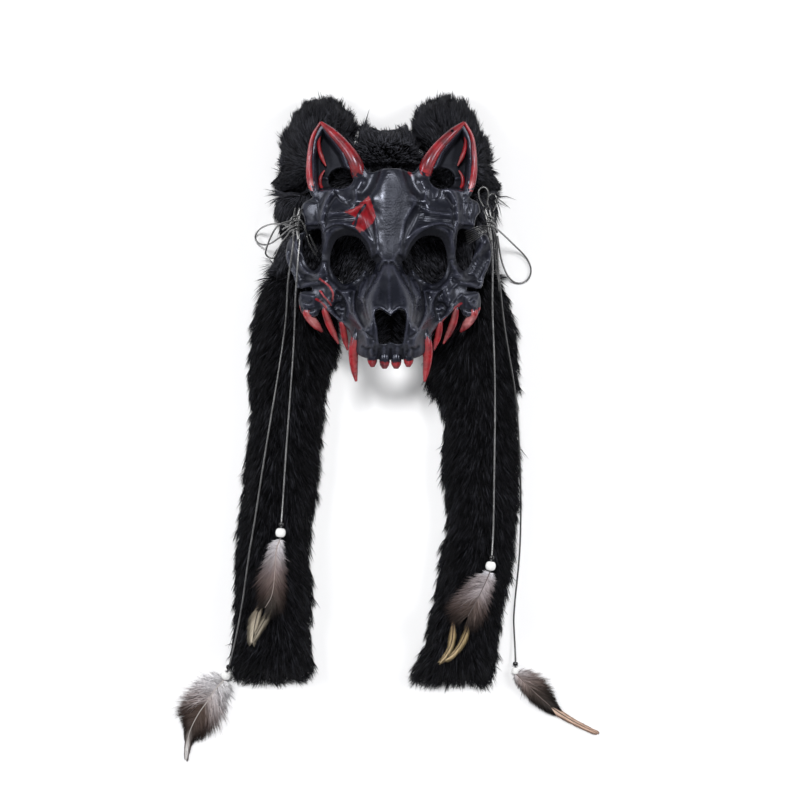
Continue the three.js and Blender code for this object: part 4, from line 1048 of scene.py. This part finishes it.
def addMoulding():
    front = carveMoulding()
    paintMoulding(front)
    parts = [front]
    for side in (1, -1):
        for name, (route, radii) in {**earRims, **teeth}.items():
            rod = taperedRod(name, onSide(route, side), radii, 18, 9)
            paintRod(rod, name, side)
            if name == "innerRim":
                bpy.ops.mesh.primitive_cylinder_add(vertices=12, radius=pinHoles["radius"] * mm, depth=60 * mm,
                                                    location=Vector((*pinHoles["at"][side], 70)) * mm)
                combine(rod, bpy.context.object, "DIFFERENCE")
            parts.append(rod)
    skull = joinInto("skull_moulding", parts)
    shadeSmooth(skull, mould["smoothAngle"])
    skull.data.materials.clear()
    skull.data.materials.append(mouldMaterial())
    dress(skull, "mask_moulding", "skull_mask")


# Fur: a smooth dark mat under thousands of locks, combed piece by piece.

# how far each mat is drawn in, its locks, their length, how they stand, how they gather, their width and how much
# painted sheen their strands get
hoodPile = {"inset": 4.5, "locks": 13000, "length": 16, "rise": 30, "clump": 3.2, "gather": 0.25, "wide": 0.85,
            "pale": 1.25}
earPile = {"inset": 6.5, "locks": 9500, "length": 14.5, "rise": 36, "clump": 3.4, "gather": 0.36, "wide": 0.85,
           "pale": 0.55}
lappetPile = {"inset": 4, "locks": 15500, "length": 17, "rise": 30, "clump": 3.4, "gather": 0.2, "wide": 0.7,
              "pale": 0.0}
fur = {
    "matVoxel": 3.4, "sink": 2.2, "fill": 0.3, "stray": 0.13, "droop": 0.22, "spare": 2.6,
    "root": (0.0008, 0.0008, 0.0011), "half": (0.00225, 0.00225, 0.00325), "tip": (0.0045, 0.0045, 0.0065),
    # a pale blue grey, painted onto a few strands as their sheen
    "sheen": (0.1, 0.103, 0.125),
    "pieces": {
        "fur_hood": {**hoodPile, "seed": 21},
        "fur_ear_left": {**earPile, "seed": 22}, "fur_ear_right": {**earPile, "seed": 23},
        "fur_lappet_left": {**lappetPile, "seed": 24}, "fur_lappet_right": {**lappetPile, "seed": 25},
    },
}


def furMat(node, inset):
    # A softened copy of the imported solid, drawn in so that the locks reach its outline.
    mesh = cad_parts[node].data.copy()
    mat = bpy.data.objects.new(node + "_pile", mesh)
    scene.collection.objects.link(mat)
    editAll(mat)
    bpy.ops.mesh.remove_doubles(threshold=0.00002)
    leaveEdit()
    remesh = mat.modifiers.new("even", "REMESH")
    remesh.mode = "VOXEL"
    remesh.voxel_size = fur["matVoxel"] * mm
    soften = mat.modifiers.new("soften", "SMOOTH")
    soften.factor = 0.7
    soften.iterations = 8
    applyModifiers(mat)
    places = readPlaces(mat)
    # under the mask and at the foot of an ear the mat stays where the solid is, so that no gap opens
    under = depthInside(places[:, 0] / mm, places[:, 1] / mm, wholeOutline(maskEdge))
    share = 1 - 0.85 * smoothstep(under, -5, 6)
    if "ear" in node:
        share *= smoothstep(places[:, 1], places[:, 1].min() + 6 * mm, places[:, 1].min() + 22 * mm)
    places -= readNormals(mat) * (inset * mm * share)[:, None]
    places[:, 2] = np.maximum(places[:, 2] - fur["sink"] * mm, 0.3 * mm)
    writePlaces(mat, places)
    return mat


def scatterOn(piece, count, dice):
    # Even random places over a mesh, with its normal there, in millimetres.
    mesh = piece.data
    mesh.calc_loop_triangles()
    corners = np.empty(len(mesh.loop_triangles) * 3, np.int32)
    mesh.loop_triangles.foreach_get("vertices", corners)
    corners = corners.reshape(-1, 3)
    places, normals = readPlaces(piece) / mm, readNormals(piece)
    a, b, c = (places[corners[:, i]] for i in range(3))
    areas = np.linalg.norm(np.cross(b - a, c - a), axis=1)
    chosen = dice.choice(len(corners), count, p=areas / areas.sum())
    r, s = np.sqrt(dice.random(count)), dice.random(count)
    weights = np.column_stack([1 - r, r * (1 - s), r * s])
    at = (places[corners[chosen]] * weights[:, :, None]).sum(axis=1)
    normal = (normals[corners[chosen]] * weights[:, :, None]).sum(axis=1)
    return at, normal / np.linalg.norm(normal, axis=1)[:, None]


def combOf(node, at):
    # Which way the pile of a piece is combed, before its surface turns it.
    x, y, _ = at.T
    box = [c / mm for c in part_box(node)]
    if "lappet" in node:
        rows = np.linspace(box[0][1], box[1][1], 40)
        cells = np.clip(np.searchsorted(rows, y), 1, 39)
        low, high = np.array([[x[cells == i].min(), x[cells == i].max()] if (cells == i).any() else [0, 1]
                              for i in range(40)]).T
        middle, half = (low + high)[cells] / 2, np.maximum((high - low)[cells] / 2, 8)
        lean = np.clip((x - middle) / half, -1, 1)
        return np.column_stack([0.75 * lean + 0.42 * wander(x, y, 40, 1), np.full(len(x), -1.0), np.zeros(len(x))])
    if "ear" in node:  # out from a point below the ear's middle
        middle = (box[0] + box[1]) / 2
        return np.column_stack([x - middle[0], y - middle[1] + 22, np.zeros(len(x))]) / 30
    top = smoothstep(y, 62, 80)
    outwards = np.sign(x) * np.where(y < -14, 1.2, 0.55)
    crest = 0.7 + 0.3 * smoothstep(y, 84, 100)
    return np.column_stack([
        outwards * (1 - top) + top * x / 46, (1 - top) * -0.9 + top * crest, np.zeros(len(x))])


def cropOf(node, u, y):
    # How much of its length the pile keeps: short at the outer foot of an ear and in the dip of the hood's crest.
    if "ear" in node:
        low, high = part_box(node)
        middle, foot = abs(low[0] + high[0]) / 2 / mm, low[1] / mm
        return 1 - 0.5 * smoothstep(u, middle, middle + 12) * (1 - smoothstep(y, foot + 4, foot + 28))
    if node == "fur_hood":
        return 1 - 0.42 * smoothstep(y, 82, 94) * (1 - smoothstep(u, 6, 26))
    return 1.0


def lockShape():
    # One lock: a three-sided taper with a ring at its middle, modelled upright and one unit long.
    deselectAll()
    bpy.ops.mesh.primitive_cone_add(vertices=3, radius1=0.5, radius2=0, depth=1, location=(0, 0, 0.5))
    lock = bpy.context.object
    editAll(lock)
    bpy.ops.mesh.bisect(plane_co=(0, 0, 0.5), plane_no=(0, 0, 1))
    leaveEdit()
    bpy.ops.object.transform_apply(location=True, rotation=True, scale=True)
    places = readPlaces(lock)
    middle = np.abs(places[:, 2] - 0.5) < 0.1
    places[middle, :2] *= 1.8
    faces = [tuple(face.vertices) for face in lock.data.polygons]
    bpy.data.objects.remove(lock)
    return places, faces


def combLocks(name, at, ahead, bend, lengths, widths, tones, template, thickness=1.0):
    # Copies the lock to every place, bent along its own curve, all in one mesh.
    shape, faces = template
    count, size = len(at), len(shape)
    side = np.cross(ahead, [0.13, 0.21, 0.97])
    side /= np.maximum(np.linalg.norm(side, axis=1), 1e-6)[:, None]
    over = np.cross(side, ahead) * thickness
    t = shape[:, 2][None, :, None]
    line = at[:, None] + ahead[:, None] * lengths[:, None, None] * t + bend[:, None] * lengths[:, None, None] * t * t
    wide = widths[:, None, None]
    places = line + side[:, None] * shape[None, :, :1] * wide + over[:, None] * shape[None, :, 1:2] * wide
    places[:, :, 2] = np.maximum(places[:, :, 2], 0.25)
    corners = np.concatenate([np.array(face) for face in faces])
    sizes = np.array([len(face) for face in faces])
    loops = (corners[None] + size * np.arange(count)[:, None]).ravel()
    starts = np.concatenate([[0], np.cumsum(np.tile(sizes, count))[:-1]])
    mesh = bpy.data.meshes.new(name)
    mesh.vertices.add(count * size)
    mesh.vertices.foreach_set("co", (places * mm).astype(np.float32).ravel())
    mesh.loops.add(len(loops))
    mesh.loops.foreach_set("vertex_index", loops.astype(np.int32))
    mesh.polygons.add(len(starts))
    mesh.polygons.foreach_set("loop_start", starts.astype(np.int32))
    mesh.update(calc_edges=True)
    locks = bpy.data.objects.new(name, mesh)
    scene.collection.objects.link(locks)
    setAttribute(locks, "along", np.tile(shape[:, 2], count))
    setAttribute(locks, "tone", np.repeat(tones, size))
    return locks


def furMaterial():
    material, tree, shader = newMaterial("black plush pile", Roughness=0.6, Specular_IOR_Level=0.12)
    along, tone = readAttribute(tree, "along"), readAttribute(tree, "tone")
    colour = rampOf(tree, along, [(0.0, fur["root"]), (0.45, fur["half"]), (1.0, fur["tip"])])
    # by its tone each lock is mixed, in streaks, towards the sheen colour: painted sheen on the strands
    strand = noiseAt(tree, 160, 3, (1, 0.25, 1))
    light = calculate(tree, "MULTIPLY", tone, strand)
    colour = mixColours(tree, light, colour, (*fur["sheen"], 1))
    tree.links.new(colour, shader.inputs["Base Color"])
    roughen(tree, shader, noiseAt(tree, 1800, 2), 0.0002, 0.4)
    return material


def addFur(template):
    material = furMaterial()
    maskLine = wholeOutline(maskEdge)
    for node, pile in fur["pieces"].items():
        dice = np.random.default_rng(pile["seed"])
        mat = furMat(node, pile["inset"])
        at, normal = scatterOn(mat, round(pile["locks"] * fur["spare"]), dice)
        x, y, z = at.T
        keep = (normal[:, 2] > -0.3) & (z > 1.2)
        under = depthInside(x, y, maskLine)
        keep &= (under < 5) | (toOpenings(x, y) < 7) | (dice.random(len(x)) < 0.06)
        at, normal, under = (rows[keep][: pile["locks"]] for rows in (at, normal, under))
        x, y, z = at.T
        count = len(at)
        # locks that share a cell of a wandering grid sway together, and their tips draw towards each other
        cells = np.floor(np.column_stack([x + 3 * wander(x, y, 20, 3), y + 3 * wander(x, y, 22, 9)]) / pile["clump"])
        _, group = np.unique(cells.astype(int), axis=0, return_inverse=True)
        group = group.ravel()
        groups = group.max() + 1
        sway = dice.normal(0, 0.6 * pile["gather"], (groups, 3)) * [1, 1, 0.4]
        comb = combOf(node, at)
        comb = comb / np.linalg.norm(comb, axis=1)[:, None] + sway[group] + dice.normal(0, fur["stray"], (count, 3))
        flat = comb - normal * (comb * normal).sum(axis=1)[:, None]
        flat /= np.maximum(np.linalg.norm(flat, axis=1), 0.05)[:, None]
        rise = np.radians(pile["rise"] * (0.75 + 0.5 * dice.random(count)))
        ahead = flat * np.cos(rise)[:, None] + normal * np.sin(rise)[:, None]
        lengths = pile["length"] * (0.72 + 0.5 * dice.random(count))
        lengths *= 1 + 0.5 * pile["gather"] * dice.normal(0, 1, groups)[group]
        lengths = np.clip(lengths, pile["length"] * 0.5, pile["length"] * 1.5)
        lengths[under > 2] *= 0.6
        lengths *= cropOf(node, np.abs(x), y)
        tips = at + ahead * lengths[:, None]
        middles = np.column_stack([np.bincount(group, tips[:, i]) / np.bincount(group) for i in range(3)])
        pull = (middles[group] - tips) * (pile["gather"] * (0.7 + 0.7 * dice.random(count)))[:, None]
        bend = pull / lengths[:, None] - normal * fur["droop"] + flat * 0.05
        widths = pile["wide"] * (0.7 + 0.6 * dice.random(count))
        # most locks stay black; a few, and more as pale grows, get painted sheen
        tones = dice.random(count) ** 4 * (0.7 + 0.5 * dice.random(groups)[group]) + pile["pale"] * dice.random(count)
        locks = combLocks(node + "_locks", at, ahead, bend, lengths, widths, tones, template)
        setAttribute(mat, "along", 0.0)
        setAttribute(mat, "tone", 0.0)
        piece = joinInto(node + "_pile", [mat, locks])
        shadeSmooth(piece)
        piece.data.materials.clear()
        piece.data.materials.append(material)
        dress(piece, "fur", node)
        print("combed", node, len(piece.data.polygons), "faces")


# Beads on the tails

beadLook = {
    "dark": {"diameter": 5, "length": 3.6}, "white": {"diameter": 9.4, "length": 8.4},
    "smallWhite": {"diameter": 7, "length": 6.2}, "bore": 1.15,
    "darkColours": [(0.3, (0.003, 0.003, 0.0035)), (0.7, (0.006, 0.006, 0.007))],
    "whiteColours": [(0.3, (0.855, 0.855, 0.846)), (0.7, (0.95, 0.95, 0.94))],
}
beadPlaces = [  # tail, the dark bead's middle, the white bead's middle, kind of white bead
    ("left_short", [-99.6, -241.4, 38.4], [-100.2, -249, 38.6], "white"),
    ("left_long", [-148.6, -373, 11.2], [-151.2, -380.6, 6.2], "white"),
    ("right_short", [91.1, -271.4, 38.2], [90.2, -279.2, 38.5], "white"),
    ("right_long", [113.9, -370.6, 3.8], [113.7, -377, 3.9], "smallWhite"),
]


def turnBead(name, size, at, ahead):
    # A rounded section spun about the bead's bore, then turned onto its cord.
    deselectAll()
    bpy.ops.mesh.primitive_circle_add(vertices=20, radius=1, fill_type="NOTHING", rotation=(math.pi / 2, 0, 0))
    bead = bpy.context.object
    bpy.ops.object.transform_apply(location=False, rotation=True, scale=False)
    places = readPlaces(bead)
    turn = np.arctan2(places[:, 2], places[:, 0])
    bore = beadLook["bore"]
    places[:, 0] = bore + (size["diameter"] / 2 - bore) * np.maximum(np.cos(turn), 0) ** 0.7
    places[:, 2] = size["length"] / 2 * np.sin(turn)
    places[:, 1] = 0
    writePlaces(bead, places * mm)
    editAll(bead)
    bpy.ops.mesh.spin(steps=28, angle=2 * math.pi, center=(0, 0, 0), axis=(0, 0, 1), use_auto_merge=True)
    bpy.ops.mesh.select_all(action="SELECT")
    bpy.ops.mesh.remove_doubles(threshold=0.00001)
    bpy.ops.mesh.normals_make_consistent(inside=False)
    leaveEdit()
    bead.rotation_euler = Vector(ahead).to_track_quat("Z", "Y").to_euler()
    bead.location = Vector(at) * mm
    settle(bead, name)
    shadeSmooth(bead)
    return bead


def glazeMaterial(name, colours):
    material, tree, shader = newMaterial(name, Roughness=0.22, Coat_Weight=0.5)
    tree.links.new(rampOf(tree, noiseAt(tree, 350, 3), colours), shader.inputs["Base Color"])
    roughen(tree, shader, noiseAt(tree, 900, 2), 0.00012, 0.3)
    return material


def addBeads():
    darkGlaze = glazeMaterial("black glass bead", beadLook["darkColours"])
    whiteGlaze = glazeMaterial("white glazed bead", beadLook["whiteColours"])
    for tail, dark, white, kind in beadPlaces:
        ahead = np.subtract(white, dark)
        for name, at, size, slot, glaze in (
            (f"dark_bead_{tail}", dark, beadLook["dark"], "dark_bead", darkGlaze),
            (f"white_bead_{tail}", white, beadLook[kind], "white_bead", whiteGlaze),
        ):
            bead = turnBead(name + "_glazed", size, at, ahead)
            bead.data.materials.append(glaze)
            dress(bead, slot, name)


# Feathers: a quill with soft barbs on both sides, downy at the base

# each with the nodes that it stands for, its quill, its half widths left and right of it along its length, how
# downy it is, how its barbs lean at its base, at its third and at its tip, and its colours from base to tip
plumes = {
    "feather_left_short": {
        "nodes": ["feather_left_short"], "slot": "pale_feather", "seed": 31,
        "quill": [[-100.6, -255, 38.6], [-103.9, -264.3, 38.2], [-105.4, -285.2, 37.4], [-108.3, -306.1, 36.6],
                  [-114.5, -317.5, 36]],
        "rows": [(0, 5, 5), (0.1, 8, 8), (0.25, 11, 10), (0.4, 16, 10.5), (0.52, 13, 11), (0.7, 11, 12), (0.86, 7, 9),
                 (1, 3, 4)],
        "fluff": [(0, 1), (0.3, 0.7), (1, 0.3)], "angle": (68, 52, 30), "barbs": 620,
        "colours": [(0.0, (0.95, 0.93, 0.97)), (0.16, (0.68, 0.64, 0.67)), (0.32, (0.42, 0.35, 0.35)),
                    (0.5, (0.27, 0.2, 0.19)), (0.66, (0.12, 0.085, 0.075)), (0.8, (0.035, 0.026, 0.022)),
                    (1.0, (0.012, 0.01, 0.009))],
        "edge": (0.3, 0.22, 0.2), "blend": "MULTIPLY", "plain": 0.14, "shaft": (0.42, 0.35, 0.33),
    },
    "feather_left_short_tip_outer": {
        "nodes": ["feather_left_short_tip"], "slot": "olive_feather", "seed": 32,
        "quill": [[-117.5, -312.5, 36.6], [-121, -322, 36.4], [-123.6, -333, 36.2], [-125.8, -347.5, 35.6]],
        "rows": [(0, 3, 3), (0.15, 6, 5), (0.5, 5, 4.5), (0.85, 3, 3), (1, 0.8, 0.8)],
        "fluff": [(0, 0.1), (1, 0)], "angle": (36, 26, 14), "barbs": 260,
        "colours": [(0.0, (0.13, 0.105, 0.08)), (0.35, (0.36, 0.315, 0.24)), (1.0, (0.64, 0.57, 0.45))],
        "edge": (0.46, 0.4, 0.31), "shaft": (0.03, 0.025, 0.02),
    },
    "feather_left_short_tip_inner": {
        "nodes": [], "slot": "olive_feather", "seed": 33,
        "quill": [[-107, -314.5, 36.8], [-112.4, -324, 36.7], [-118.6, -335, 36.4], [-125, -347, 35.8]],
        "rows": [(0, 2, 3), (0.2, 3.4, 4.6), (0.6, 2.6, 4), (1, 0.6, 0.8)],
        "fluff": [(0, 0.1), (1, 0)], "angle": (36, 26, 14), "barbs": 240,
        "colours": [(0.0, (0.02, 0.017, 0.012)), (0.3, (0.16, 0.14, 0.105)), (1.0, (0.6, 0.53, 0.42))],
        "edge": (0.26, 0.225, 0.17), "shaft": (0.03, 0.025, 0.02),
    },
    "feather_left_long": {
        "nodes": ["feather_left_long", "feather_left_long_inner"], "slot": "pale_feather", "seed": 34,
        "quill": [[-152.4, -384.4, 3.6], [-161.1, -394.1, 3.2], [-169, -405.6, 3.2], [-176.8, -416.6, 2.6],
                  [-184.6, -432.6, 2], [-187.4, -446.6, 1.6], [-188.6, -459, 1.2]],
        "rows": [(0, 10, 12), (0.08, 17, 16), (0.2, 21, 20), (0.32, 20, 21), (0.42, 15, 18), (0.52, 9, 13),
                 (0.62, 5, 8), (0.75, 2.5, 4), (0.9, 1.6, 2.4), (1, 0.5, 0.7)],
        "fluff": [(0, 1), (0.3, 0.8), (0.45, 0.3), (1, 0.02)], "angle": (88, 58, 16), "barbs": 950,
        "colours": [(0.0, (0.97, 0.96, 0.98)), (0.14, (0.86, 0.83, 0.86)), (0.26, (0.66, 0.59, 0.59)),
                    (0.36, (0.12, 0.08, 0.066)), (0.64, (0.03, 0.018, 0.014)), (0.76, (0.3, 0.28, 0.27)),
                    (0.85, (0.75, 0.75, 0.75))],
        "edge": (0.58, 0.48, 0.46), "blend": "MULTIPLY", "plain": 0.1, "shaft": (0.5, 0.46, 0.44),
    },
    "feather_right_short": {
        "nodes": ["feather_right_short"], "slot": "pale_feather", "seed": 35,
        "quill": [[89.4, -285, 38.8], [87, -291, 38.6], [80, -306, 38], [73, -319, 37.2], [69.6, -325, 36.8]],
        "rows": [(0, 5, 5), (0.12, 11, 8), (0.3, 16, 9.5), (0.5, 19, 12), (0.7, 17, 13), (0.85, 13, 12), (1, 8, 8)],
        "fluff": [(0, 1), (0.4, 0.9), (1, 0.7)], "angle": (88, 68, 42), "barbs": 800,
        "colours": [(0.0, (0.95, 0.94, 1.0)), (0.12, (0.6, 0.54, 0.56)), (0.4, (0.6, 0.54, 0.56)),
                    (0.62, (0.24, 0.18, 0.165)), (0.85, (0.08, 0.054, 0.046)), (1.0, (0.03, 0.02, 0.016))],
        "edge": (0.3, 0.22, 0.2), "blend": "MULTIPLY", "plain": 0.08, "shaft": (0.2, 0.17, 0.17),
    },
    "feather_right_short_tip_outer": {
        "nodes": ["feather_right_short_tip_outer"], "slot": "olive_feather", "seed": 36,
        "quill": [[56.6, -329, 37], [56, -340, 36.9], [54.4, -350, 36.6], [50, -359, 36.2], [44.6, -366, 35.6]],
        "rows": [(0, 2, 2), (0.2, 4.4, 3.6), (0.6, 3.6, 3.4), (0.9, 1.8, 2), (1, 0.4, 0.5)],
        "fluff": [(0, 0.1), (1, 0)], "angle": (32, 22, 12), "barbs": 260,
        "colours": [(0.0, (0.1, 0.06, 0.035)), (0.25, (0.36, 0.26, 0.13)), (1.0, (0.66, 0.52, 0.32))],
        "edge": (0.5, 0.38, 0.2), "shaft": (0.05, 0.03, 0.02),
    },
    "feather_right_short_tip_inner": {
        "nodes": ["feather_right_short_tip_inner"], "slot": "olive_feather", "seed": 37,
        "quill": [[71, -327, 36.9], [68.4, -338, 36.7], [63.6, -349, 36.4], [56, -359, 36.1], [46, -366, 35.8]],
        "rows": [(0, 2, 2), (0.25, 3.6, 4.2), (0.65, 3, 3.4), (1, 0.4, 0.4)],
        "fluff": [(0, 0.1), (1, 0)], "angle": (32, 22, 12), "barbs": 260,
        "colours": [(0.0, (0.08, 0.05, 0.03)), (0.3, (0.34, 0.25, 0.12)), (1.0, (0.68, 0.54, 0.34))],
        "edge": (0.46, 0.35, 0.18), "shaft": (0.05, 0.03, 0.02),
    },
    "feather_right_long": {
        "nodes": ["feather_right_long"], "slot": "brown_feather", "seed": 38,
        "quill": [[113.8, -379, 4.6], [121, -386, 4.4], [132, -397, 4], [146, -409.5, 3.2]],
        "rows": [(0, 5, 9), (0.1, 7, 13), (0.3, 8, 14), (0.5, 8, 11), (0.7, 7, 7), (1, 3, 3.4)],
        "fluff": [(0, 0.9), (0.4, 0.6), (0.6, 0.15), (1, 0.05)], "angle": (72, 48, 20), "barbs": 620,
        "colours": [(0.0, (0.7, 0.66, 0.68)), (0.12, (0.5, 0.42, 0.41)), (0.28, (0.32, 0.25, 0.23)),
                    (0.45, (0.05, 0.034, 0.028)), (0.8, (0.02, 0.014, 0.012)), (1.0, (0.016, 0.012, 0.01))],
        "edge": (0.3, 0.23, 0.2), "blend": "MULTIPLY", "shaft": (0.2, 0.16, 0.15),
    },
    "feather_right_long_tip": {
        "nodes": ["feather_right_long_tip"], "slot": "pale_feather", "seed": 39,
        "quill": [[138, -403.4, 2.8], [150, -412.6, 2.4], [164, -421.6, 2], [178, -429, 1.6], [190, -434.4, 1.2]],
        "rows": [(0, 1.5, 1.5), (0.2, 4, 3), (0.5, 3.6, 3.4), (0.8, 3, 3), (1, 0.4, 0.5)],
        "fluff": [(0, 0.3), (0.2, 0.05), (1, 0)], "angle": (36, 24, 12), "barbs": 320,
        "colours": [(0.0, (0.85, 0.78, 0.76)), (0.2, (0.68, 0.52, 0.42)), (0.5, (0.74, 0.54, 0.42)),
                    (1.0, (0.68, 0.46, 0.36))],
        "edge": (0.72, 0.46, 0.34), "shaft": (0.02, 0.012, 0.01),
    },
}


def plumeMaterial(name, plume):
    material, tree, shader = newMaterial(name.replace("_", " "), Roughness=0.65, Specular_IOR_Level=0.2)
    along, tone = readAttribute(tree, "along"), readAttribute(tree, "tone")
    colour = rampOf(tree, along, plume["colours"])
    plain = plume.get("plain", 0.02)
    outer = spread(tree, readAttribute(tree, "outer"), 0.15, 0.95, 0.85)
    browned = calculate(tree, "MULTIPLY", outer, spread(tree, along, plain, plain + 0.25))
    colour = mixColours(tree, browned, colour, (*plume["edge"], 1), plume.get("blend", "MIX"))
    streak = calculate(tree, "MULTIPLY", tone, noiseAt(tree, 500, 3))
    colour = mixColours(tree, calculate(tree, "MULTIPLY", streak, 0.08), colour, (0.8, 0.74, 0.7, 1), "SCREEN")
    colour = mixColours(tree, calculate(tree, "SUBTRACT", 0.75, tone), colour, (0.02, 0.012, 0.008, 1))
    colour = mixColours(tree, readAttribute(tree, "shaft"), colour, (*plume["shaft"], 1))
    tree.links.new(colour, shader.inputs["Base Color"])
    roughen(tree, shader, noiseAt(tree, 1600, 2), 0.0002, 0.3)
    return material


def growPlume(name, plume, template):
    dice = np.random.default_rng(plume["seed"])
    count = plume["barbs"]
    line = smoothRoute(plume["quill"], 12)
    runs = np.concatenate([[0], np.cumsum(np.linalg.norm(line[1:] - line[:-1], axis=1))])
    slopes = np.gradient(line, axis=0)
    slopes /= np.linalg.norm(slopes, axis=1)[:, None]
    shares, lefts, rights = (np.array(column, float) for column in zip(*plume["rows"]))
    fluffAt, fluffs = zip(*plume["fluff"])
    parts = []
    for side, widths in ((1, lefts), (-1, rights)):
        share = np.clip((np.arange(count) + dice.random(count)) / count, 0, 1) * 0.97
        at, ahead = (np.column_stack([np.interp(share * runs[-1], runs, rows[:, i]) for i in range(3)])
                     for rows in (line, slopes))
        fluff = np.interp(share, fluffAt, fluffs)
        lean = np.interp(share, [0, 0.35, 1], plume["angle"])
        angle = np.radians(lean + dice.normal(0, 1, count) * (2 + 13 * fluff))
        turn = angle * -side
        out = np.column_stack([
            ahead[:, 0] * np.cos(turn) - ahead[:, 1] * np.sin(turn),
            ahead[:, 0] * np.sin(turn) + ahead[:, 1] * np.cos(turn),
            0.10 * fluff + dice.normal(0, 1, count) * (0.02 + 0.16 * fluff) - 0.02,
        ])
        width = np.interp(share, shares, widths) * (1 + dice.normal(0, 1, count) * (0.02 + 0.1 * fluff))
        longest = 1.3 * widths.max() / math.sin(math.radians(40))
        lengths = np.clip(width / np.maximum(np.sin(np.radians(lean)), 0.35), 0.6, longest)
        curl = ahead * 0.3 + np.column_stack([dice.normal(0, 0.12, count) * fluff for _ in range(3)])
        tones = np.clip(0.62 + dice.normal(0, 0.18, count), 0, 1)
        wide = 0.7 + 0.3 * dice.random(count)
        barbs = combLocks(name + "_barbs", at, out, curl * [1, 1, 0.3], lengths, wide, tones, template, 0.35)
        # from here on "along" runs down the feather, and "outer" out along each barb
        setAttribute(barbs, "along", np.repeat(share, len(template[0])))
        setAttribute(barbs, "outer", np.tile(template[0][:, 2], count))
        setAttribute(barbs, "shaft", 0.0)
        parts.append(barbs)
    shaft = taperedRod("shaft", plume["quill"], [0.5, 0.4, 0.3, 0.18], 7, 8)
    for key, value in (("tone", 0.5), ("outer", 0.0), ("shaft", 1.0)):
        setAttribute(shaft, key, value)
    for key in ("upper", "across"):
        shaft.data.attributes.remove(shaft.data.attributes[key])
    raised = readPlaces(shaft)
    raised[:, 2] += 0.35 * mm
    writePlaces(shaft, raised)
    parts.append(shaft)
    piece = joinInto(name + "_plume", parts)
    shadeSmooth(piece)
    return piece


def addFeathers(template):
    for name, plume in plumes.items():
        piece = growPlume(name, plume, template)
        piece.data.materials.append(plumeMaterial(name, plume))
        dress(piece, plume["slot"], *plume["nodes"])


def declareCords(cords):
    # The tails and bows are free cord: prints each one's real length.
    for name, (cord, line, length) in cords.items():
        print(name, "is", round(length * 1000), "mm of cord")


addStage()
print("stage set")
cords = addCords()
print("cord laid and lashings wound")
addMoulding()
print("moulding carved")
lock = lockShape()
addFur(lock)
addBeads()
addFeathers(lock)
print("beads and feathers hung")
declareCords(cords)
